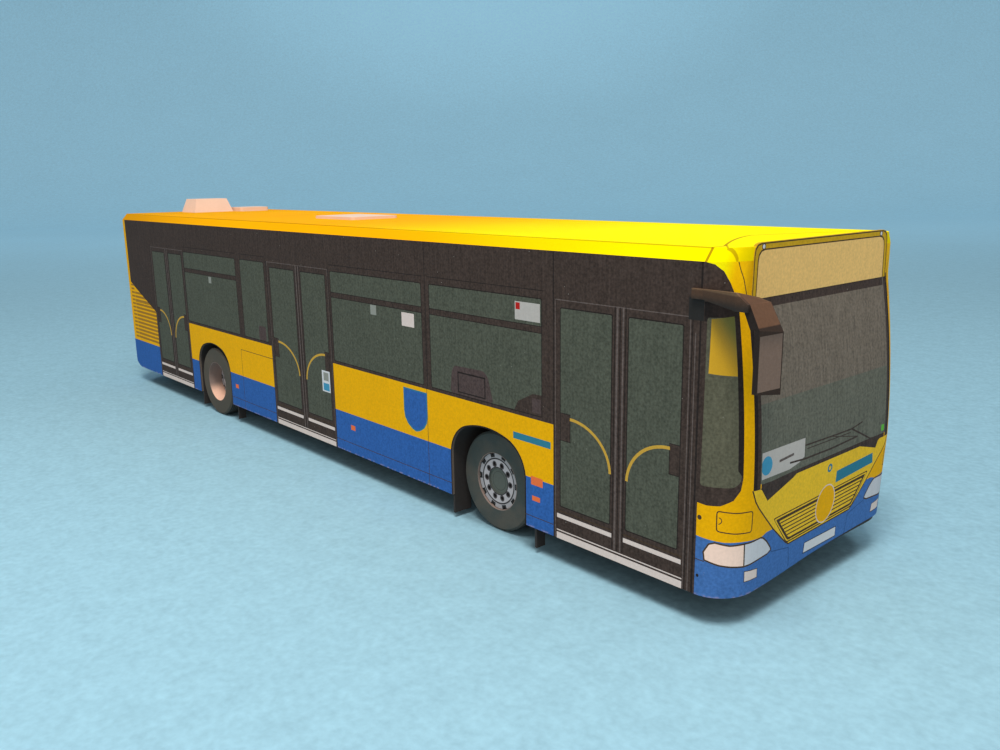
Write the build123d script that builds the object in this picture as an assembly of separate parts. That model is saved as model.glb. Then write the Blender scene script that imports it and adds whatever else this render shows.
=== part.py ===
from build123d import *

import math
import os

# Card model of a low-floor city bus at 1:100, in millimetres.
# +X is the direction of travel, +Y the left side, +Z up, and the ground is z = 0.
# It is printed card: flat panels, folded roof edges and a leaning front with rolled
# corners, on two wooden axles whose laminated card wheels turn in card cheeks.

# ---- Card and clearances -------------------------------------------------------------------
card = 0.25                # thickness of the printed card
axle_play = 0.05           # gap between axle and card bearing, on the radius
wheel_gap = 0.45           # gap between a wheel and the cheek beside it

# ---- Body ----------------------------------------------------------------------------------
body_length = 121.6
body_width = 25.5
skirt_height = 2.55        # lower edge of the body above the ground
body_height = 25.85        # from the skirt to the roof
cove_rise = 0.95           # height of the folded edge between side and roof
cove_run = 0.79            # how far that edge leans inwards
rear_corner_radius = 1.2
rear_skirt_radius = 3.3    # lower rear corner, rolled inwards under the body

# ---- Front ---------------------------------------------------------------------------------
front_corner = 3.25        # length and width of a rolled front corner at the belt
belt_rise = 8.4            # from the skirt to the fold below the windscreen
skirt_tuck = 0.45          # how far the front skirt stands behind the belt
screen_bow_rise = 7.6      # height on the windscreen where its bow is taken
screen_bow = 0.42          # setback at that height
screen_lean = 1.30         # setback of the windscreen's top behind the belt
cap_depth_middle = 7.4     # front roof cap behind the front, on the centre line
cap_shoulder = 2.15        # straight part of the cap's seam, in from each side
sign_height = 3.65
sign_roof_step = 0.05      # sign's upper edge below the roof
sign_margin = 2.70         # from the body's side to the sign's lower corner
sign_narrowing = 0.45      # how much further in its upper corner is
sign_corner_radius = 0.9

# ---- Running gear --------------------------------------------------------------------------
front_overhang = 27.3
wheelbase = 60.9
tyre_radius = 4.90
rim_radius = 2.80
front_tyre_width = 2.8
rear_tyre_width = 4.4
tyre_shoulder = 0.22
front_wheel_inset = 1.38   # wheel face behind the body's side
rear_wheel_inset = 0.30
front_rim_recess = 0.20    # rim face behind the tyre's face
rear_rim_recess = 1.90
rim_depth = 1.60
hub_radius = 1.30
bolt_count = 10
bolt_circle_radius = 1.70
bolt_hole_radius = 0.20
bolt_hole_sides = 6
notch_radius = 0.26
notch_sides = 4
rim_relief = 0.12          # depth of the holes and notches in the rim
axle_radius = 0.75
axle_seat = 0.90           # how far the axle goes into the rim

# ---- Wheel arches --------------------------------------------------------------------------
arch_half_width = 5.30
arch_crown_height = 10.50  # top of the arch above the ground
arch_crown_radius = 9.50
arch_shoulder_radius = 3.40
arch_offset = 0.15         # arch centre ahead of the axle
flap_drop = 2.00           # how far the liner's tongues hang below the skirt
flap_width = 2.1
leading_flap_width = 1.05
leading_flap_reach = 1.0   # how far the front tongue stands ahead of the arch

# ---- Floor ---------------------------------------------------------------------------------
floor_recess = 0.35        # floor above the skirt's lower edge

# ---- Roof fittings -------------------------------------------------------------------------
roof_box_length = 5.5
roof_box_width = 6.8
roof_box_height = 2.2
roof_box_taper = 18        # degrees that its walls lean inwards
roof_box_to_rear = 3.3     # behind the box to the rear panel
rear_hatch_length = 4.8
rear_hatch_width = 5.2
rear_hatch_height = 0.65
rear_hatch_to_box = 0.3    # gap between it and the box, sideways
front_hatch_length = 9.5
front_hatch_width = 7.0
front_hatch_height = 0.35
front_hatch_to_front = 63.4
hatch_corner_radius = 0.5

# ---- Mirrors -------------------------------------------------------------------------------
mirror_reach = 2.20        # right mirror ahead of the front
head_width = 2.55
head_height = 6.1          # hood and plate
plate_depth = 0.35
hood_height = 1.80
hood_length = 0.95         # level top of the hood
hood_slant = 1.05          # how far the hood's top stands behind the plate
hood_throat = 0.70         # depth of the hood where it meets the plate
right_mirror_drop = 2.73   # from the roof to the top of the right arm's root
arm_fall = 0.45            # how far the right arm drops towards the hood
arm_height = 0.75
arm_root_length = 0.95     # glued length on the side panel
arm_splay = 1.20           # how far the right arm spreads outwards
left_head_depth = 0.75
left_mirror_setback = 1.4  # left arm behind the seam of the front corner
left_mirror_drop = 5.5
left_arm_reach = 1.1
left_head_width = 1.8
left_head_height = 4.4
left_head_clearance = 0.35

# ---- Places worked out from the sizes ------------------------------------------------------
rear_x = -(body_length + mirror_reach) / 2
front_x = rear_x + body_length
side_y = body_width / 2
skirt_z = skirt_height
roof_z = skirt_z + body_height
fold_z = roof_z - cove_rise
belt_z = skirt_z + belt_rise
bow_z = belt_z + screen_bow_rise
screen_top_z = roof_z - sign_roof_step - sign_height
floor_z = skirt_z + floor_recess
flap_z = skirt_z - flap_drop
side_seam_x = front_x - front_corner
rear_seam_x = rear_x + rear_skirt_radius
sign_back_x = front_x - screen_lean
pillar_y = side_y - front_corner
axle_z = tyre_radius
front_axle_x = front_x - front_overhang
rear_axle_x = front_axle_x - wheelbase


def block(x0, x1, y0, y1, z0, z1):
    """Box between two corners."""
    box = Box(x1 - x0, y1 - y0, z1 - z0, align=(Align.MIN, Align.MIN, Align.MIN))
    return Pos(x0, y0, z0) * box


def along_y(outline, y0, y1):
    """Prism of a face in XZ between two y values."""
    return extrude(Plane.XZ.offset(-y0) * outline, -(y1 - y0))


def along_x(outline, x0, x1):
    """Prism of a face in YZ between two x values."""
    return extrude(Plane.YZ.offset(x0) * outline, x1 - x0)


def polygon(points):
    """Face with straight edges."""
    return make_face(Polyline(*points, close=True))


def mirrored(shape):
    """The same piece on the other side of the bus."""
    return mirror(shape, Plane.XZ)


# ---- Body behind the side seam -------------------------------------------------------------
def tail_corner(inset):
    """What is cut away below the rolled lower rear corner."""
    radius = rear_skirt_radius
    x0 = rear_x - card
    z0 = skirt_z - card
    square = Pos(x0, z0) * Rectangle(rear_seam_x - x0, skirt_z + radius - z0, align=Align.MIN)
    roll = Pos(rear_seam_x, skirt_z + radius) * Circle(radius - inset)
    return along_y(square - roll, -side_y - card, side_y + card)


def trunk(inset):
    """Solid behind the side seam, moved inwards by inset; below the skirt where inset."""
    low_z = skirt_z - inset
    end_x = side_seam_x + 2 * cove_run
    plan = Rectangle(end_x - rear_x - inset, body_width - 2 * inset)
    plan = fillet(plan.vertices().group_by(Axis.X)[0], rear_corner_radius - inset)
    plan = Pos((end_x + rear_x + inset) / 2, 0) * plan
    lean = math.degrees(math.atan2(cove_run, cove_rise))
    upright = extrude(Pos(0, 0, low_z) * plan, fold_z - low_z)
    lid = extrude(Pos(0, 0, fold_z) * plan, cove_rise - inset, taper=lean)
    whole = (upright + lid) - tail_corner(inset)
    return whole & block(rear_x, side_seam_x, -side_y, side_y, low_z, roof_z)


# ---- Front ahead of the side seam ----------------------------------------------------------
def nose_plan(inset, z, setback, side_lean=0.0):
    """Level face of the front at one height, with its two rolled corners."""
    depth = front_corner - setback - inset
    half = side_y - side_lean - inset
    turn = half - pillar_y
    outline = Curve() + [
        Line((0, -half), (0, half)),
        EllipticalCenterArc((0, pillar_y), depth, turn, 0, arc_size=90),
        Line((depth, pillar_y), (depth, -pillar_y)),
        EllipticalCenterArc((0, -pillar_y), depth, turn, 270, arc_size=90),
    ]
    return Pos(side_seam_x, 0, z) * make_face(outline)


def nose_shell(levels):
    """Card ring of the front through levels, each a height and a setback."""
    straight = len(levels) == 2
    outer = loft([nose_plan(0, z, setback) for z, setback in levels], ruled=straight)
    inner = loft([nose_plan(card, z, setback) for z, setback in levels], ruled=straight)
    return outer - inner


def nose_lid():
    """Folded roof edge and roof of the front, open below."""
    inner_run = (cove_rise - card) * cove_run / cove_rise
    outer = loft([
        nose_plan(0, fold_z, screen_lean),
        nose_plan(0, roof_z, screen_lean, cove_run),
    ], ruled=True)
    inner = loft([
        nose_plan(card, fold_z, screen_lean),
        nose_plan(card, roof_z - card, screen_lean, inner_run),
    ], ruled=True)
    return outer - inner


def cap_region():
    """Space on the roof between the front cap's curved seam and the side seam."""
    half = side_y - cap_shoulder
    seam = ThreePointArc((side_seam_x, -half), (front_x - cap_depth_middle, 0), (side_seam_x, half))
    plan = make_face(Curve() + [seam, Line((side_seam_x, half), (side_seam_x, -half))])
    return extrude(Pos(0, 0, fold_z) * plan, cove_rise)


def build_shell():
    """Dictionary of the body's card panels."""
    body = trunk(0) - trunk(card)
    above = block(rear_x, side_seam_x, -side_y, side_y, fold_z, roof_z)
    tail = block(rear_x, rear_seam_x, -side_y, side_y, skirt_z, fold_z)
    right_flank = block(rear_seam_x, side_seam_x, -side_y, 0, skirt_z, fold_z)
    middle = block(side_seam_x, front_x + card, -pillar_y, pillar_y, belt_z, roof_z)
    cap = cap_region()
    screen = nose_shell([(belt_z, 0), (bow_z, screen_bow), (screen_top_z, screen_lean)])
    band = nose_shell([(screen_top_z, screen_lean), (fold_z, screen_lean)])
    posts = (screen + band) - middle
    side = body & right_flank
    for axle_x in (front_axle_x, rear_axle_x):
        side -= arch_prism(axle_x, 0, skirt_z - card, -side_y - card, 0)

    panels = {}
    panels["side_panel_right"] = side
    panels["side_panel_left"] = mirrored(side)
    panels["rear_panel"] = body & tail
    panels["front_lower_panel"] = nose_shell([(skirt_z, skirt_tuck), (belt_z, 0)])
    panels["windscreen_panel"] = screen & middle
    panels["corner_post_right"] = posts.solids().sort_by(Axis.Y)[0]
    panels["corner_post_left"] = mirrored(panels["corner_post_right"])
    panels["front_roof_cap"] = nose_lid() + (body & cap) + (band & middle)
    panels["roof_panel"] = (body & above) - cap
    return panels


# ---- Front sign ----------------------------------------------------------------------------
def build_sign():
    """Blank sign board on the front, with rounded upper corners."""
    low_y = side_y - sign_margin
    high_y = low_y - sign_narrowing
    high_z = screen_top_z + sign_height
    board = polygon([(-low_y, screen_top_z), (low_y, screen_top_z), (high_y, high_z), (-high_y, high_z)])
    board = fillet(board.vertices().group_by(Axis.Y)[-1], sign_corner_radius)
    return along_x(board, sign_back_x, sign_back_x + card)


# ---- Floor and wheel wells -----------------------------------------------------------------
def arch_outline(axle_x, grow, low_z):
    """Face in XZ of a wheel arch: a flat crown on rounder shoulders, above straight legs."""
    middle_x = axle_x + arch_offset
    crown_centre_z = arch_crown_height - arch_crown_radius
    shoulder_x = arch_half_width - arch_shoulder_radius
    # A shoulder runs into the crown on the line through both centres.
    lean = math.asin(shoulder_x / (arch_crown_radius - arch_shoulder_radius))
    shoulder_z = crown_centre_z + shoulder_x / math.tan(lean)

    def on_shoulder(side, angle):
        radius = arch_shoulder_radius + grow
        x = shoulder_x + radius * math.sin(angle)
        return (middle_x + side * x, shoulder_z + radius * math.cos(angle))

    side_middle = (lean + math.pi / 2) / 2
    left_foot = (middle_x - arch_half_width - grow, low_z)
    right_foot = (middle_x + arch_half_width + grow, low_z)
    edges = [Line(left_foot, on_shoulder(-1, math.pi / 2))]
    edges += [ThreePointArc(*(on_shoulder(-1, angle) for angle in (math.pi / 2, side_middle, lean)))]
    edges += [ThreePointArc(on_shoulder(-1, lean), (middle_x, arch_crown_height + grow), on_shoulder(1, lean))]
    edges += [ThreePointArc(*(on_shoulder(1, angle) for angle in (lean, side_middle, math.pi / 2)))]
    edges += [Line(on_shoulder(1, math.pi / 2), right_foot), Line(right_foot, left_foot)]
    return make_face(Curve() + edges)


def arch_prism(axle_x, grow, low_z, y0, y1):
    """Solid of a wheel arch between two y values."""
    return along_y(arch_outline(axle_x, grow, low_z), y0, y1)


def leading_block(axle, start, z0, z1):
    """Part of the right front tongue, from start ahead of the arch, or of its foot in the floor."""
    leg_x = axle["x"] + arch_offset + arch_half_width
    outer_y = -(side_y - card)
    end_x = leg_x + leading_flap_reach + card
    return block(leg_x + start, end_x, outer_y, outer_y + leading_flap_width, z0, z1)


def cheek_face(axle):
    """Outer face of a cheek, on the wheel's side, as a distance from the centre plane."""
    return side_y - axle["inset"] - axle["tyre_width"] - wheel_gap


def build_floor():
    """Floor between the panels, cut out round the four wheel wells."""
    inner_y = side_y - card
    floor = block(rear_seam_x, side_seam_x, -inner_y, inner_y, floor_z, floor_z + card)
    floor += extrude(nose_plan(card, floor_z, skirt_tuck), card)
    for axle in AXLES.values():
        wall_y = cheek_face(axle) - card
        well = arch_prism(axle["x"], card, skirt_z - card, -side_y - card, -wall_y)
        well += leading_block(axle, 0, floor_z, floor_z + card)
        floor -= well
        floor -= mirrored(well)
    return floor


def build_liner(axle):
    """Right arch liner: a bent strip with tongues that hang below the skirt."""
    outer_y = -(side_y - card)
    inner_y = -cheek_face(axle)
    strip = arch_prism(axle["x"], card, floor_z, outer_y, inner_y)
    strip -= arch_prism(axle["x"], 0, flap_z - card, outer_y - card, inner_y + card)
    rear_leg = axle["x"] + arch_offset - arch_half_width
    tongue_y = outer_y + flap_width
    rear_tongue = block(rear_leg - card, rear_leg, outer_y, tongue_y, flap_z, floor_z)
    front_tongue = leading_block(axle, leading_flap_reach, flap_z, floor_z)
    return strip + rear_tongue + leading_block(axle, 0, floor_z, floor_z + card) + front_tongue


def build_cheek(axle):
    """Right inner wall of a wheel well, with the hole that the axle turns in."""
    outer_y = -cheek_face(axle)
    wall = arch_prism(axle["x"], card, floor_z, outer_y, outer_y + card)
    return wall - wheel_disc(axle, axle_radius + axle_play, outer_y - card, outer_y + 2 * card)


# ---- Wheels and axles ----------------------------------------------------------------------
def wheel_disc(axle, radius, y0, y1):
    """Cylinder round an axle's centre line between two y values."""
    return along_y(Pos(axle["x"], axle_z) * Circle(radius), y0, y1)


def build_tyre(axle):
    """Right tyre: laminated card ring with bevelled shoulders."""
    outer_y = axle["inset"] - side_y
    inner_y = outer_y + axle["tyre_width"]
    ring = wheel_disc(axle, tyre_radius, outer_y, inner_y)
    ring = chamfer(ring.edges().filter_by(GeomType.CIRCLE), tyre_shoulder)
    return ring - wheel_disc(axle, rim_radius, outer_y - card, inner_y + card)


def build_rim(axle):
    """Right rim: notched and drilled disc, with the axle's seat in its back."""
    face_y = axle["inset"] + axle["rim_recess"] - side_y
    back_y = face_y + rim_depth
    rim = wheel_disc(axle, rim_radius, face_y, back_y)
    notch = RegularPolygon(notch_radius, notch_sides)
    hole = RegularPolygon(bolt_hole_radius, bolt_hole_sides)
    marks = Sketch() + [spot * notch for spot in PolarLocations(rim_radius, bolt_count)]
    marks += [spot * hole for spot in PolarLocations(bolt_circle_radius, bolt_count)]
    marks = Pos(axle["x"], axle_z) * (marks + Circle(hub_radius))
    rim -= along_y(marks, face_y, face_y + rim_relief)
    return rim - wheel_disc(axle, axle_radius, back_y - axle_seat, back_y + card)


def build_axle(axle):
    """Round wooden axle, glued into both rims."""
    end_y = side_y - axle["inset"] - axle["rim_recess"] - rim_depth + axle_seat
    return wheel_disc(axle, axle_radius, -end_y, end_y)


# ---- Roof fittings -------------------------------------------------------------------------
def build_roof_box():
    """Raised box at the back of the roof."""
    base = Rectangle(roof_box_length, roof_box_width)
    x = rear_x + roof_box_to_rear + roof_box_length / 2
    return extrude(Pos(x, 0, roof_z) * base, roof_box_height, taper=roof_box_taper)


def build_hatch(x, y, length, width, height):
    """Low card plate on the roof round a centre."""
    plate = RectangleRounded(length, width, hatch_corner_radius)
    return extrude(Pos(x, y, roof_z) * plate, height)


def build_hatches():
    """Small plate beside the roof box and the larger one on the centre line."""
    box_front_x = rear_x + roof_box_to_rear + roof_box_length
    y = roof_box_width / 2 + rear_hatch_to_box + rear_hatch_width / 2
    rear = build_hatch(box_front_x, y, rear_hatch_length, rear_hatch_width, rear_hatch_height)
    x = front_x - front_hatch_to_front - front_hatch_length / 2
    front = build_hatch(x, 0, front_hatch_length, front_hatch_width, front_hatch_height)
    return rear, front


# ---- Mirrors -------------------------------------------------------------------------------
def arm_end(x, outer_y, top):
    """Upright cross-section of a mirror arm at one place."""
    section = Pos(outer_y, top - arm_height) * Rectangle(card, arm_height, align=Align.MIN)
    return Plane.YZ.offset(x) * section


def build_right_mirror():
    """Folded arm on the right side and the hooded head that hangs ahead of the front."""
    root_top = roof_z - right_mirror_drop
    top = root_top - arm_fall
    plate_x = front_x + mirror_reach
    hood_x = plate_x - hood_slant
    back_x = hood_x - hood_length
    root_y = -side_y - card
    tip_y = root_y - arm_splay
    root = block(side_seam_x - arm_root_length, side_seam_x, root_y, -side_y, root_top - arm_height, root_top)
    strut = loft([arm_end(side_seam_x, root_y, root_top), arm_end(back_x, tip_y, top)], ruled=True)
    tab = block(back_x, hood_x, tip_y, tip_y + card, top - arm_height, top)
    profile = polygon([
        (back_x, top),
        (hood_x, top),
        (plate_x, top - hood_height),
        (plate_x, top - head_height),
        (plate_x - plate_depth, top - head_height),
        (plate_x - plate_depth, top - hood_height),
        (plate_x - hood_throat, top - hood_height),
    ])
    head_y = tip_y + card
    return root + strut + tab, along_y(profile, head_y, head_y + head_width)


def build_left_mirror():
    """Short folded arm on the left side and its head."""
    top = roof_z - left_mirror_drop
    x = side_seam_x - left_mirror_setback
    plan = polygon([
        (x, side_y),
        (x, side_y + left_arm_reach),
        (x - card, side_y + left_arm_reach),
        (x - card, side_y + card),
        (x - arm_root_length, side_y + card),
        (x - arm_root_length, side_y),
    ])
    arm = extrude(Pos(0, 0, top - arm_height) * plan, arm_height)
    head_y = side_y + left_head_clearance
    head = block(x, x + left_head_depth, head_y, head_y + left_head_width, top - left_head_height, top)
    return arm, head


# ---- All nodes -----------------------------------------------------------------------------
AXLES = {
    "front": {
        "x": front_axle_x,
        "tyre_width": front_tyre_width,
        "inset": front_wheel_inset,
        "rim_recess": front_rim_recess,
    },
    "rear": {
        "x": rear_axle_x,
        "tyre_width": rear_tyre_width,
        "inset": rear_wheel_inset,
        "rim_recess": rear_rim_recess,
    },
}


def build_nodes():
    """Every piece of the model by its node name."""
    nodes = build_shell()
    nodes["sign_board"] = build_sign()
    nodes["floor_panel"] = build_floor()
    nodes["roof_box"] = build_roof_box()
    nodes["roof_hatch_rear"], nodes["roof_hatch_front"] = build_hatches()
    nodes["mirror_arm_right"], nodes["mirror_head_right"] = build_right_mirror()
    nodes["mirror_arm_left"], nodes["mirror_head_left"] = build_left_mirror()
    for end, axle in AXLES.items():
        right_pieces = {
            f"arch_liner_{end}": build_liner(axle),
            f"axle_cheek_{end}": build_cheek(axle),
            f"tyre_{end}": build_tyre(axle),
            f"rim_{end}": build_rim(axle),
        }
        for name, piece in right_pieces.items():
            nodes[name + "_right"] = piece
            nodes[name + "_left"] = mirrored(piece)
        nodes[f"axle_{end}"] = build_axle(axle)
    return nodes


os.makedirs("parts", exist_ok=True)
for node_name, node_shape in build_nodes().items():
    export_step(node_shape, f"parts/{node_name}.step")
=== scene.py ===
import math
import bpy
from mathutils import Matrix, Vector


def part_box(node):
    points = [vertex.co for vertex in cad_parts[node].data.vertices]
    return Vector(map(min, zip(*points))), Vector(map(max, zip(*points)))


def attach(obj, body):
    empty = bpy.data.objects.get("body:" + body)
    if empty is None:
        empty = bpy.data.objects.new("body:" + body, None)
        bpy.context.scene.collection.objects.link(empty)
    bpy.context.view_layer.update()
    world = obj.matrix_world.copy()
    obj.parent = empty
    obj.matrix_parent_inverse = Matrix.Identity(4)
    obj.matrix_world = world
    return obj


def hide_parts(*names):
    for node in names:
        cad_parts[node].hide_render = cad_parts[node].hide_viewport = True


bl_info = {
    "name": "Card City Bus",
    "version": (1, 0, 0),
    "blender": (4, 5, 0),
    "location": "View3D > Sidebar > Card Bus",
    "description": "Dresses the card model of a city bus in printed card",
    "category": "Add Mesh",
}

import bpy
from bpy.props import FloatProperty, FloatVectorProperty, PointerProperty
from mathutils import Matrix, Vector
from mathutils.geometry import delaunay_2d_cdt

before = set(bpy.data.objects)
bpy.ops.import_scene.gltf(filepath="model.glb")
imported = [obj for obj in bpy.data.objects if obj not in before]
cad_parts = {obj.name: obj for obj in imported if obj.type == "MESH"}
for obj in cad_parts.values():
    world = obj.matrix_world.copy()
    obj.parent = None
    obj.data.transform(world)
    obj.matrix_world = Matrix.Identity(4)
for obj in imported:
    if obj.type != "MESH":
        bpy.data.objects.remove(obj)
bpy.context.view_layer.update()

# All layouts are in millimetres, the frame is in metres.
MM = 0.001


def box_mm(node):
    """Lowest and highest corner of a CAD node in millimetres."""
    low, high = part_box(node)
    return low / MM, high / MM


SIDE_LOW, SIDE_HIGH = box_mm("side_panel_right")
SIGN_LOW, SIGN_HIGH = box_mm("sign_board")
NOSE_HIGH = box_mm("front_lower_panel")[1]
SCREEN_HIGH = box_mm("windscreen_panel")[1]

CARD = SIDE_HIGH.y - SIDE_LOW.y
SIDE_Y = -SIDE_LOW.y
SKIRT_Z = SIDE_LOW.z
FOLD_Z = SIDE_HIGH.z
ROOF_Z = box_mm("roof_panel")[1].z
BELT_Z = NOSE_HIGH.z
SCREEN_TOP_Z = SCREEN_HIGH.z
REAR_X = box_mm("rear_panel")[0].x
FRONT_X = NOSE_HIGH.x
SEAM_X = SIDE_HIGH.x
PILLAR_Y = SCREEN_HIGH.y
CORNER = FRONT_X - SEAM_X
CORNER_ARC = CORNER * math.pi / 2
CORNER_END = PILLAR_Y + CORNER_ARC
SCREEN_LEAN = FRONT_X - SIGN_LOW.x

# Measures of the card that no box gives, in millimetres.
STATION_FRONT = 59.85          # station of the body's front
COVE_RUN = 0.79                # how far the folded roof edge leans inwards
CAP_SHOULDER = 2.15            # straight part of the cap's seam, in from each side
CAP_SAGITTA = 4.8              # how far the seam bows back in the middle
CAP_FOLD = ((-0.40, 9.75), (0.97, 11.66), (1.61, 11.32))  # worn fold, from the side seam
SIGN_RISE = 0.25               # how far the sign stands above the roof
HOOD_HEIGHT = 1.80             # right mirror's hood
ARM_HEIGHT = 0.72              # right mirror's arm at the side
ARM_TIP_HEIGHT = 1.22          # and at the hood
ARCH_CROWN = 9.5               # radius over the wheel
ARCH_SHOULDER = 3.4            # radius where the crown meets a leg
REAR_CORNER = 1.2              # radius of the upright rear corners
REAR_ROLL = 3.3                # radius of the rolled lower rear corner
TAIL_START = -59.6             # station where the dark band's slanting edge starts
TAIL_HEIGHT = 17.04            # its height there
TAIL_SLOPE = 0.389             # and its fall per millimetre forwards
LOUVRE_LOW = 7.9               # lowest louvre line of the sides
LOUVRE_PITCH = 0.625
LOUVRE_COUNT = 13
HAZE_TOP = 17.2                # top of the windscreen's greener part
# The corner's paler yellow above this height is a painted highlight.
CAP_PALE = 24.0                # height where the corner starts to turn pale
BOLT_COUNT = 10                # of a wheel; its disc has as many notches
BOLT_CIRCLE = 1.70             # radius that the bolts stand on
HUB_RADIUS = 1.31
# Painted shadow on the floor under the body, set by the three numbers below.
SHADOW_MIDDLE = -1.1           # darkened paper under the body: x of its middle,
SHADOW_LENGTH = 55.6           # half its length before its soft edge
SHADOW_WIDTH = 7.8             # and half its width

# Reflection of printed card, of bare card and of the roof.
INK_GLOSS = 0.05
CARD_GLOSS = 0.25
ROOF_GLOSS = 0.01
STICK_GLOSS = 0.5

# Scale and detail of the noises, and colours of bare card.
PRINT_GRAIN = (4.6, 3.0)
WRAP_GRAIN = (11.0, 3.0)
CARD_FIBRES = (13.0, 3.0)
CARD_WHITE = (222, 219, 212)
CARD_CUT = (168, 156, 160)


def srgb(red, green, blue):
    """Linear colour from the usual 0 to 255 numbers."""
    def linear(value):
        value /= 255
        return value / 12.92 if value <= 0.04045 else ((value + 0.055) / 1.055) ** 2.4
    return linear(red), linear(green), linear(blue)


def size_in_mm(name, default, description):
    return FloatProperty(name=name, description=description, default=default, min=0.0, unit="NONE")


def ink_colour(name, description, red, green, blue):
    return FloatVectorProperty(
        name=name, description=description, subtype="COLOR", size=3,
        min=0.0, max=1.0, default=srgb(red, green, blue))


def lamp_power(name, description, watts):
    return FloatProperty(name=name, description=description, default=watts, min=0.0, unit="POWER")


def turn_angle(name, description, degrees):
    return FloatProperty(
        name=name, description=description, default=math.radians(degrees), subtype="ANGLE")


# ---- What a user may change ----
class BusInks(bpy.types.PropertyGroup):
    """Colours that the card is printed in."""

    yellow: ink_colour("Yellow", "Upper body colour", 232, 168, 4)
    front_yellow: ink_colour("Front yellow", "Yellow of the panel with the grille", 232, 184, 44)
    # The roof yellows stand in for light: the front one is a painted highlight, the rear one painted
    # shade.
    roof: ink_colour("Roof yellow", "Roof colour along the middle", 238, 166, 4)
    roof_front: ink_colour("Cap yellow", "Roof colour at the front", 242, 226, 0)
    roof_rear: ink_colour("Rear yellow", "Roof colour at the rear", 200, 136, 12)
    blue: ink_colour("Blue", "Lower body colour", 48, 93, 160)
    front_blue: ink_colour("Front blue", "Blue of the front strip", 66, 106, 164)
    louvre: ink_colour("Louvre", "Shade between the rear louvres", 158, 114, 40)
    # Painted shadow that the mirror's arm casts on the right side, laid as a dark ink.
    shade: ink_colour("Shade", "Dark print under the mirror's arm", 44, 42, 41)
    label: ink_colour("Label", "Blank card behind the screen", 180, 172, 166)
    navy: ink_colour("Navy", "Shaded blue under the grille", 48, 78, 124)
    dark: ink_colour("Dark brown", "Window band and frames", 65, 53, 48)
    # Seal black also paints the mirror arm's shadow over the quarter window.
    seal: ink_colour("Seal black", "Rubber seals and deep lines", 42, 35, 33)
    line: ink_colour("Thin line", "Panel lines", 72, 56, 40)
    jamb: ink_colour("Light jamb", "Pale lines in door frames", 96, 84, 80)
    glass: ink_colour("Glass", "Printed windows", 79, 81, 70)
    screen: ink_colour("Windscreen", "Printed windscreen", 109, 98, 87)
    haze: ink_colour("Windscreen low", "Greener lower part of the windscreen", 98, 97, 86)
    quarter: ink_colour("Quarter glass", "Small window in the corner", 90, 87, 71)
    seat: ink_colour("Seat", "Dark shapes behind the glass", 78, 64, 62)
    rail: ink_colour("Rail", "Handrails in the doors", 196, 152, 60)
    pale: ink_colour("Pale strip", "Door sills and strips", 214, 196, 188)
    white: ink_colour("White", "Blank plate and labels", 206, 204, 206)
    sticker: ink_colour("Grey square", "Small faded label", 140, 140, 132)
    lamp_warm: ink_colour("Warm lamp", "Outer part of the headlamp", 240, 206, 188)
    lamp_cool: ink_colour("Cool lamp", "Inner part of the headlamp", 196, 194, 198)
    orange: ink_colour("Orange", "Side markers", 226, 110, 62)
    red: ink_colour("Red", "Rear lamps", 176, 34, 30)
    green: ink_colour("Green", "Small screen label", 92, 176, 60)
    disc_blue: ink_colour("Disc blue", "Plain disc on the screen card", 66, 140, 172)
    sash: ink_colour("Sash", "Plain strip on the panels", 48, 118, 140)
    rim_gold: ink_colour("Sign border", "Border of the front sign", 196, 152, 30)
    cream: ink_colour("Cream", "Blank field of the front sign", 230, 184, 112)
    cut: ink_colour("Cut edge", "Edge of the sides, tinted by hand", 104, 92, 84)


class BusSizes(bpy.types.PropertyGroup):
    """Heights and widths of the print, in millimetres."""

    stripe_height: size_in_mm("Stripe height", 7.25, "Where blue meets yellow")
    sill_height: size_in_mm("Sill height", 12.72, "Where yellow meets the window band")
    window_low: size_in_mm("Window bottom", 13.12, "Lower edge of the printed glass")
    window_high: size_in_mm("Window top", 23.32, "Upper edge of the printed glass")
    hopper_low: size_in_mm("Hopper bar bottom", 20.42, "Lower edge of the hopper bar")
    hopper_high: size_in_mm("Hopper bar top", 21.0, "Upper edge of the hopper bar")
    door_high: size_in_mm("Door top", 23.5, "Upper edge of the doors")
    skirt_tuck: size_in_mm("Skirt tuck", 0.45, "Setback of the front skirt")
    screen_bow: size_in_mm("Screen bow", 0.42, "Setback at the windscreen's bow")
    screen_bow_rise: size_in_mm("Bow height", 7.6, "Bow above the belt")
    strip_lift: size_in_mm("Front strip lift", 0.40, "How much higher the strip was glued on the left")
    edge_lift: size_in_mm("Front edge lift", 0.45, "How much shorter the strip was cut there")


class BusStage(bpy.types.PropertyGroup):
    """Floor, lamps and camera."""

    floor: ink_colour("Floor", "Paper that the model stands on", 142, 180, 196)
    # Painted light: the same paper is given a paler colour far behind the model.
    backdrop: ink_colour("Backdrop", "The same paper far behind the model", 172, 219, 240)
    key_power: lamp_power("Key lamp", "Power of the lamp above", 0.78)
    fill_power: lamp_power("Fill lamp", "Power of the lamp ahead", 0.42)
    sky: FloatProperty(name="Sky", description="Strength of the even light", default=0.68, min=0.0)
    lens: FloatProperty(name="Lens", description="Focal length in millimetres", default=31.4525, min=1.0)
    camera_place: FloatVectorProperty(
        name="Camera", description="Camera position", subtype="TRANSLATION", unit="LENGTH",
        default=(0.092563, -0.063393, 0.033295))
    camera_yaw: turn_angle("Yaw", "Camera heading", 138.8208)
    camera_pitch: turn_angle("Pitch", "Camera tilt", -12.6962)
    camera_roll: turn_angle("Roll", "Camera roll", -0.8674)


def sizes():
    """Sizes that the user has set."""
    return bpy.context.scene.card_bus_sizes


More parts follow.
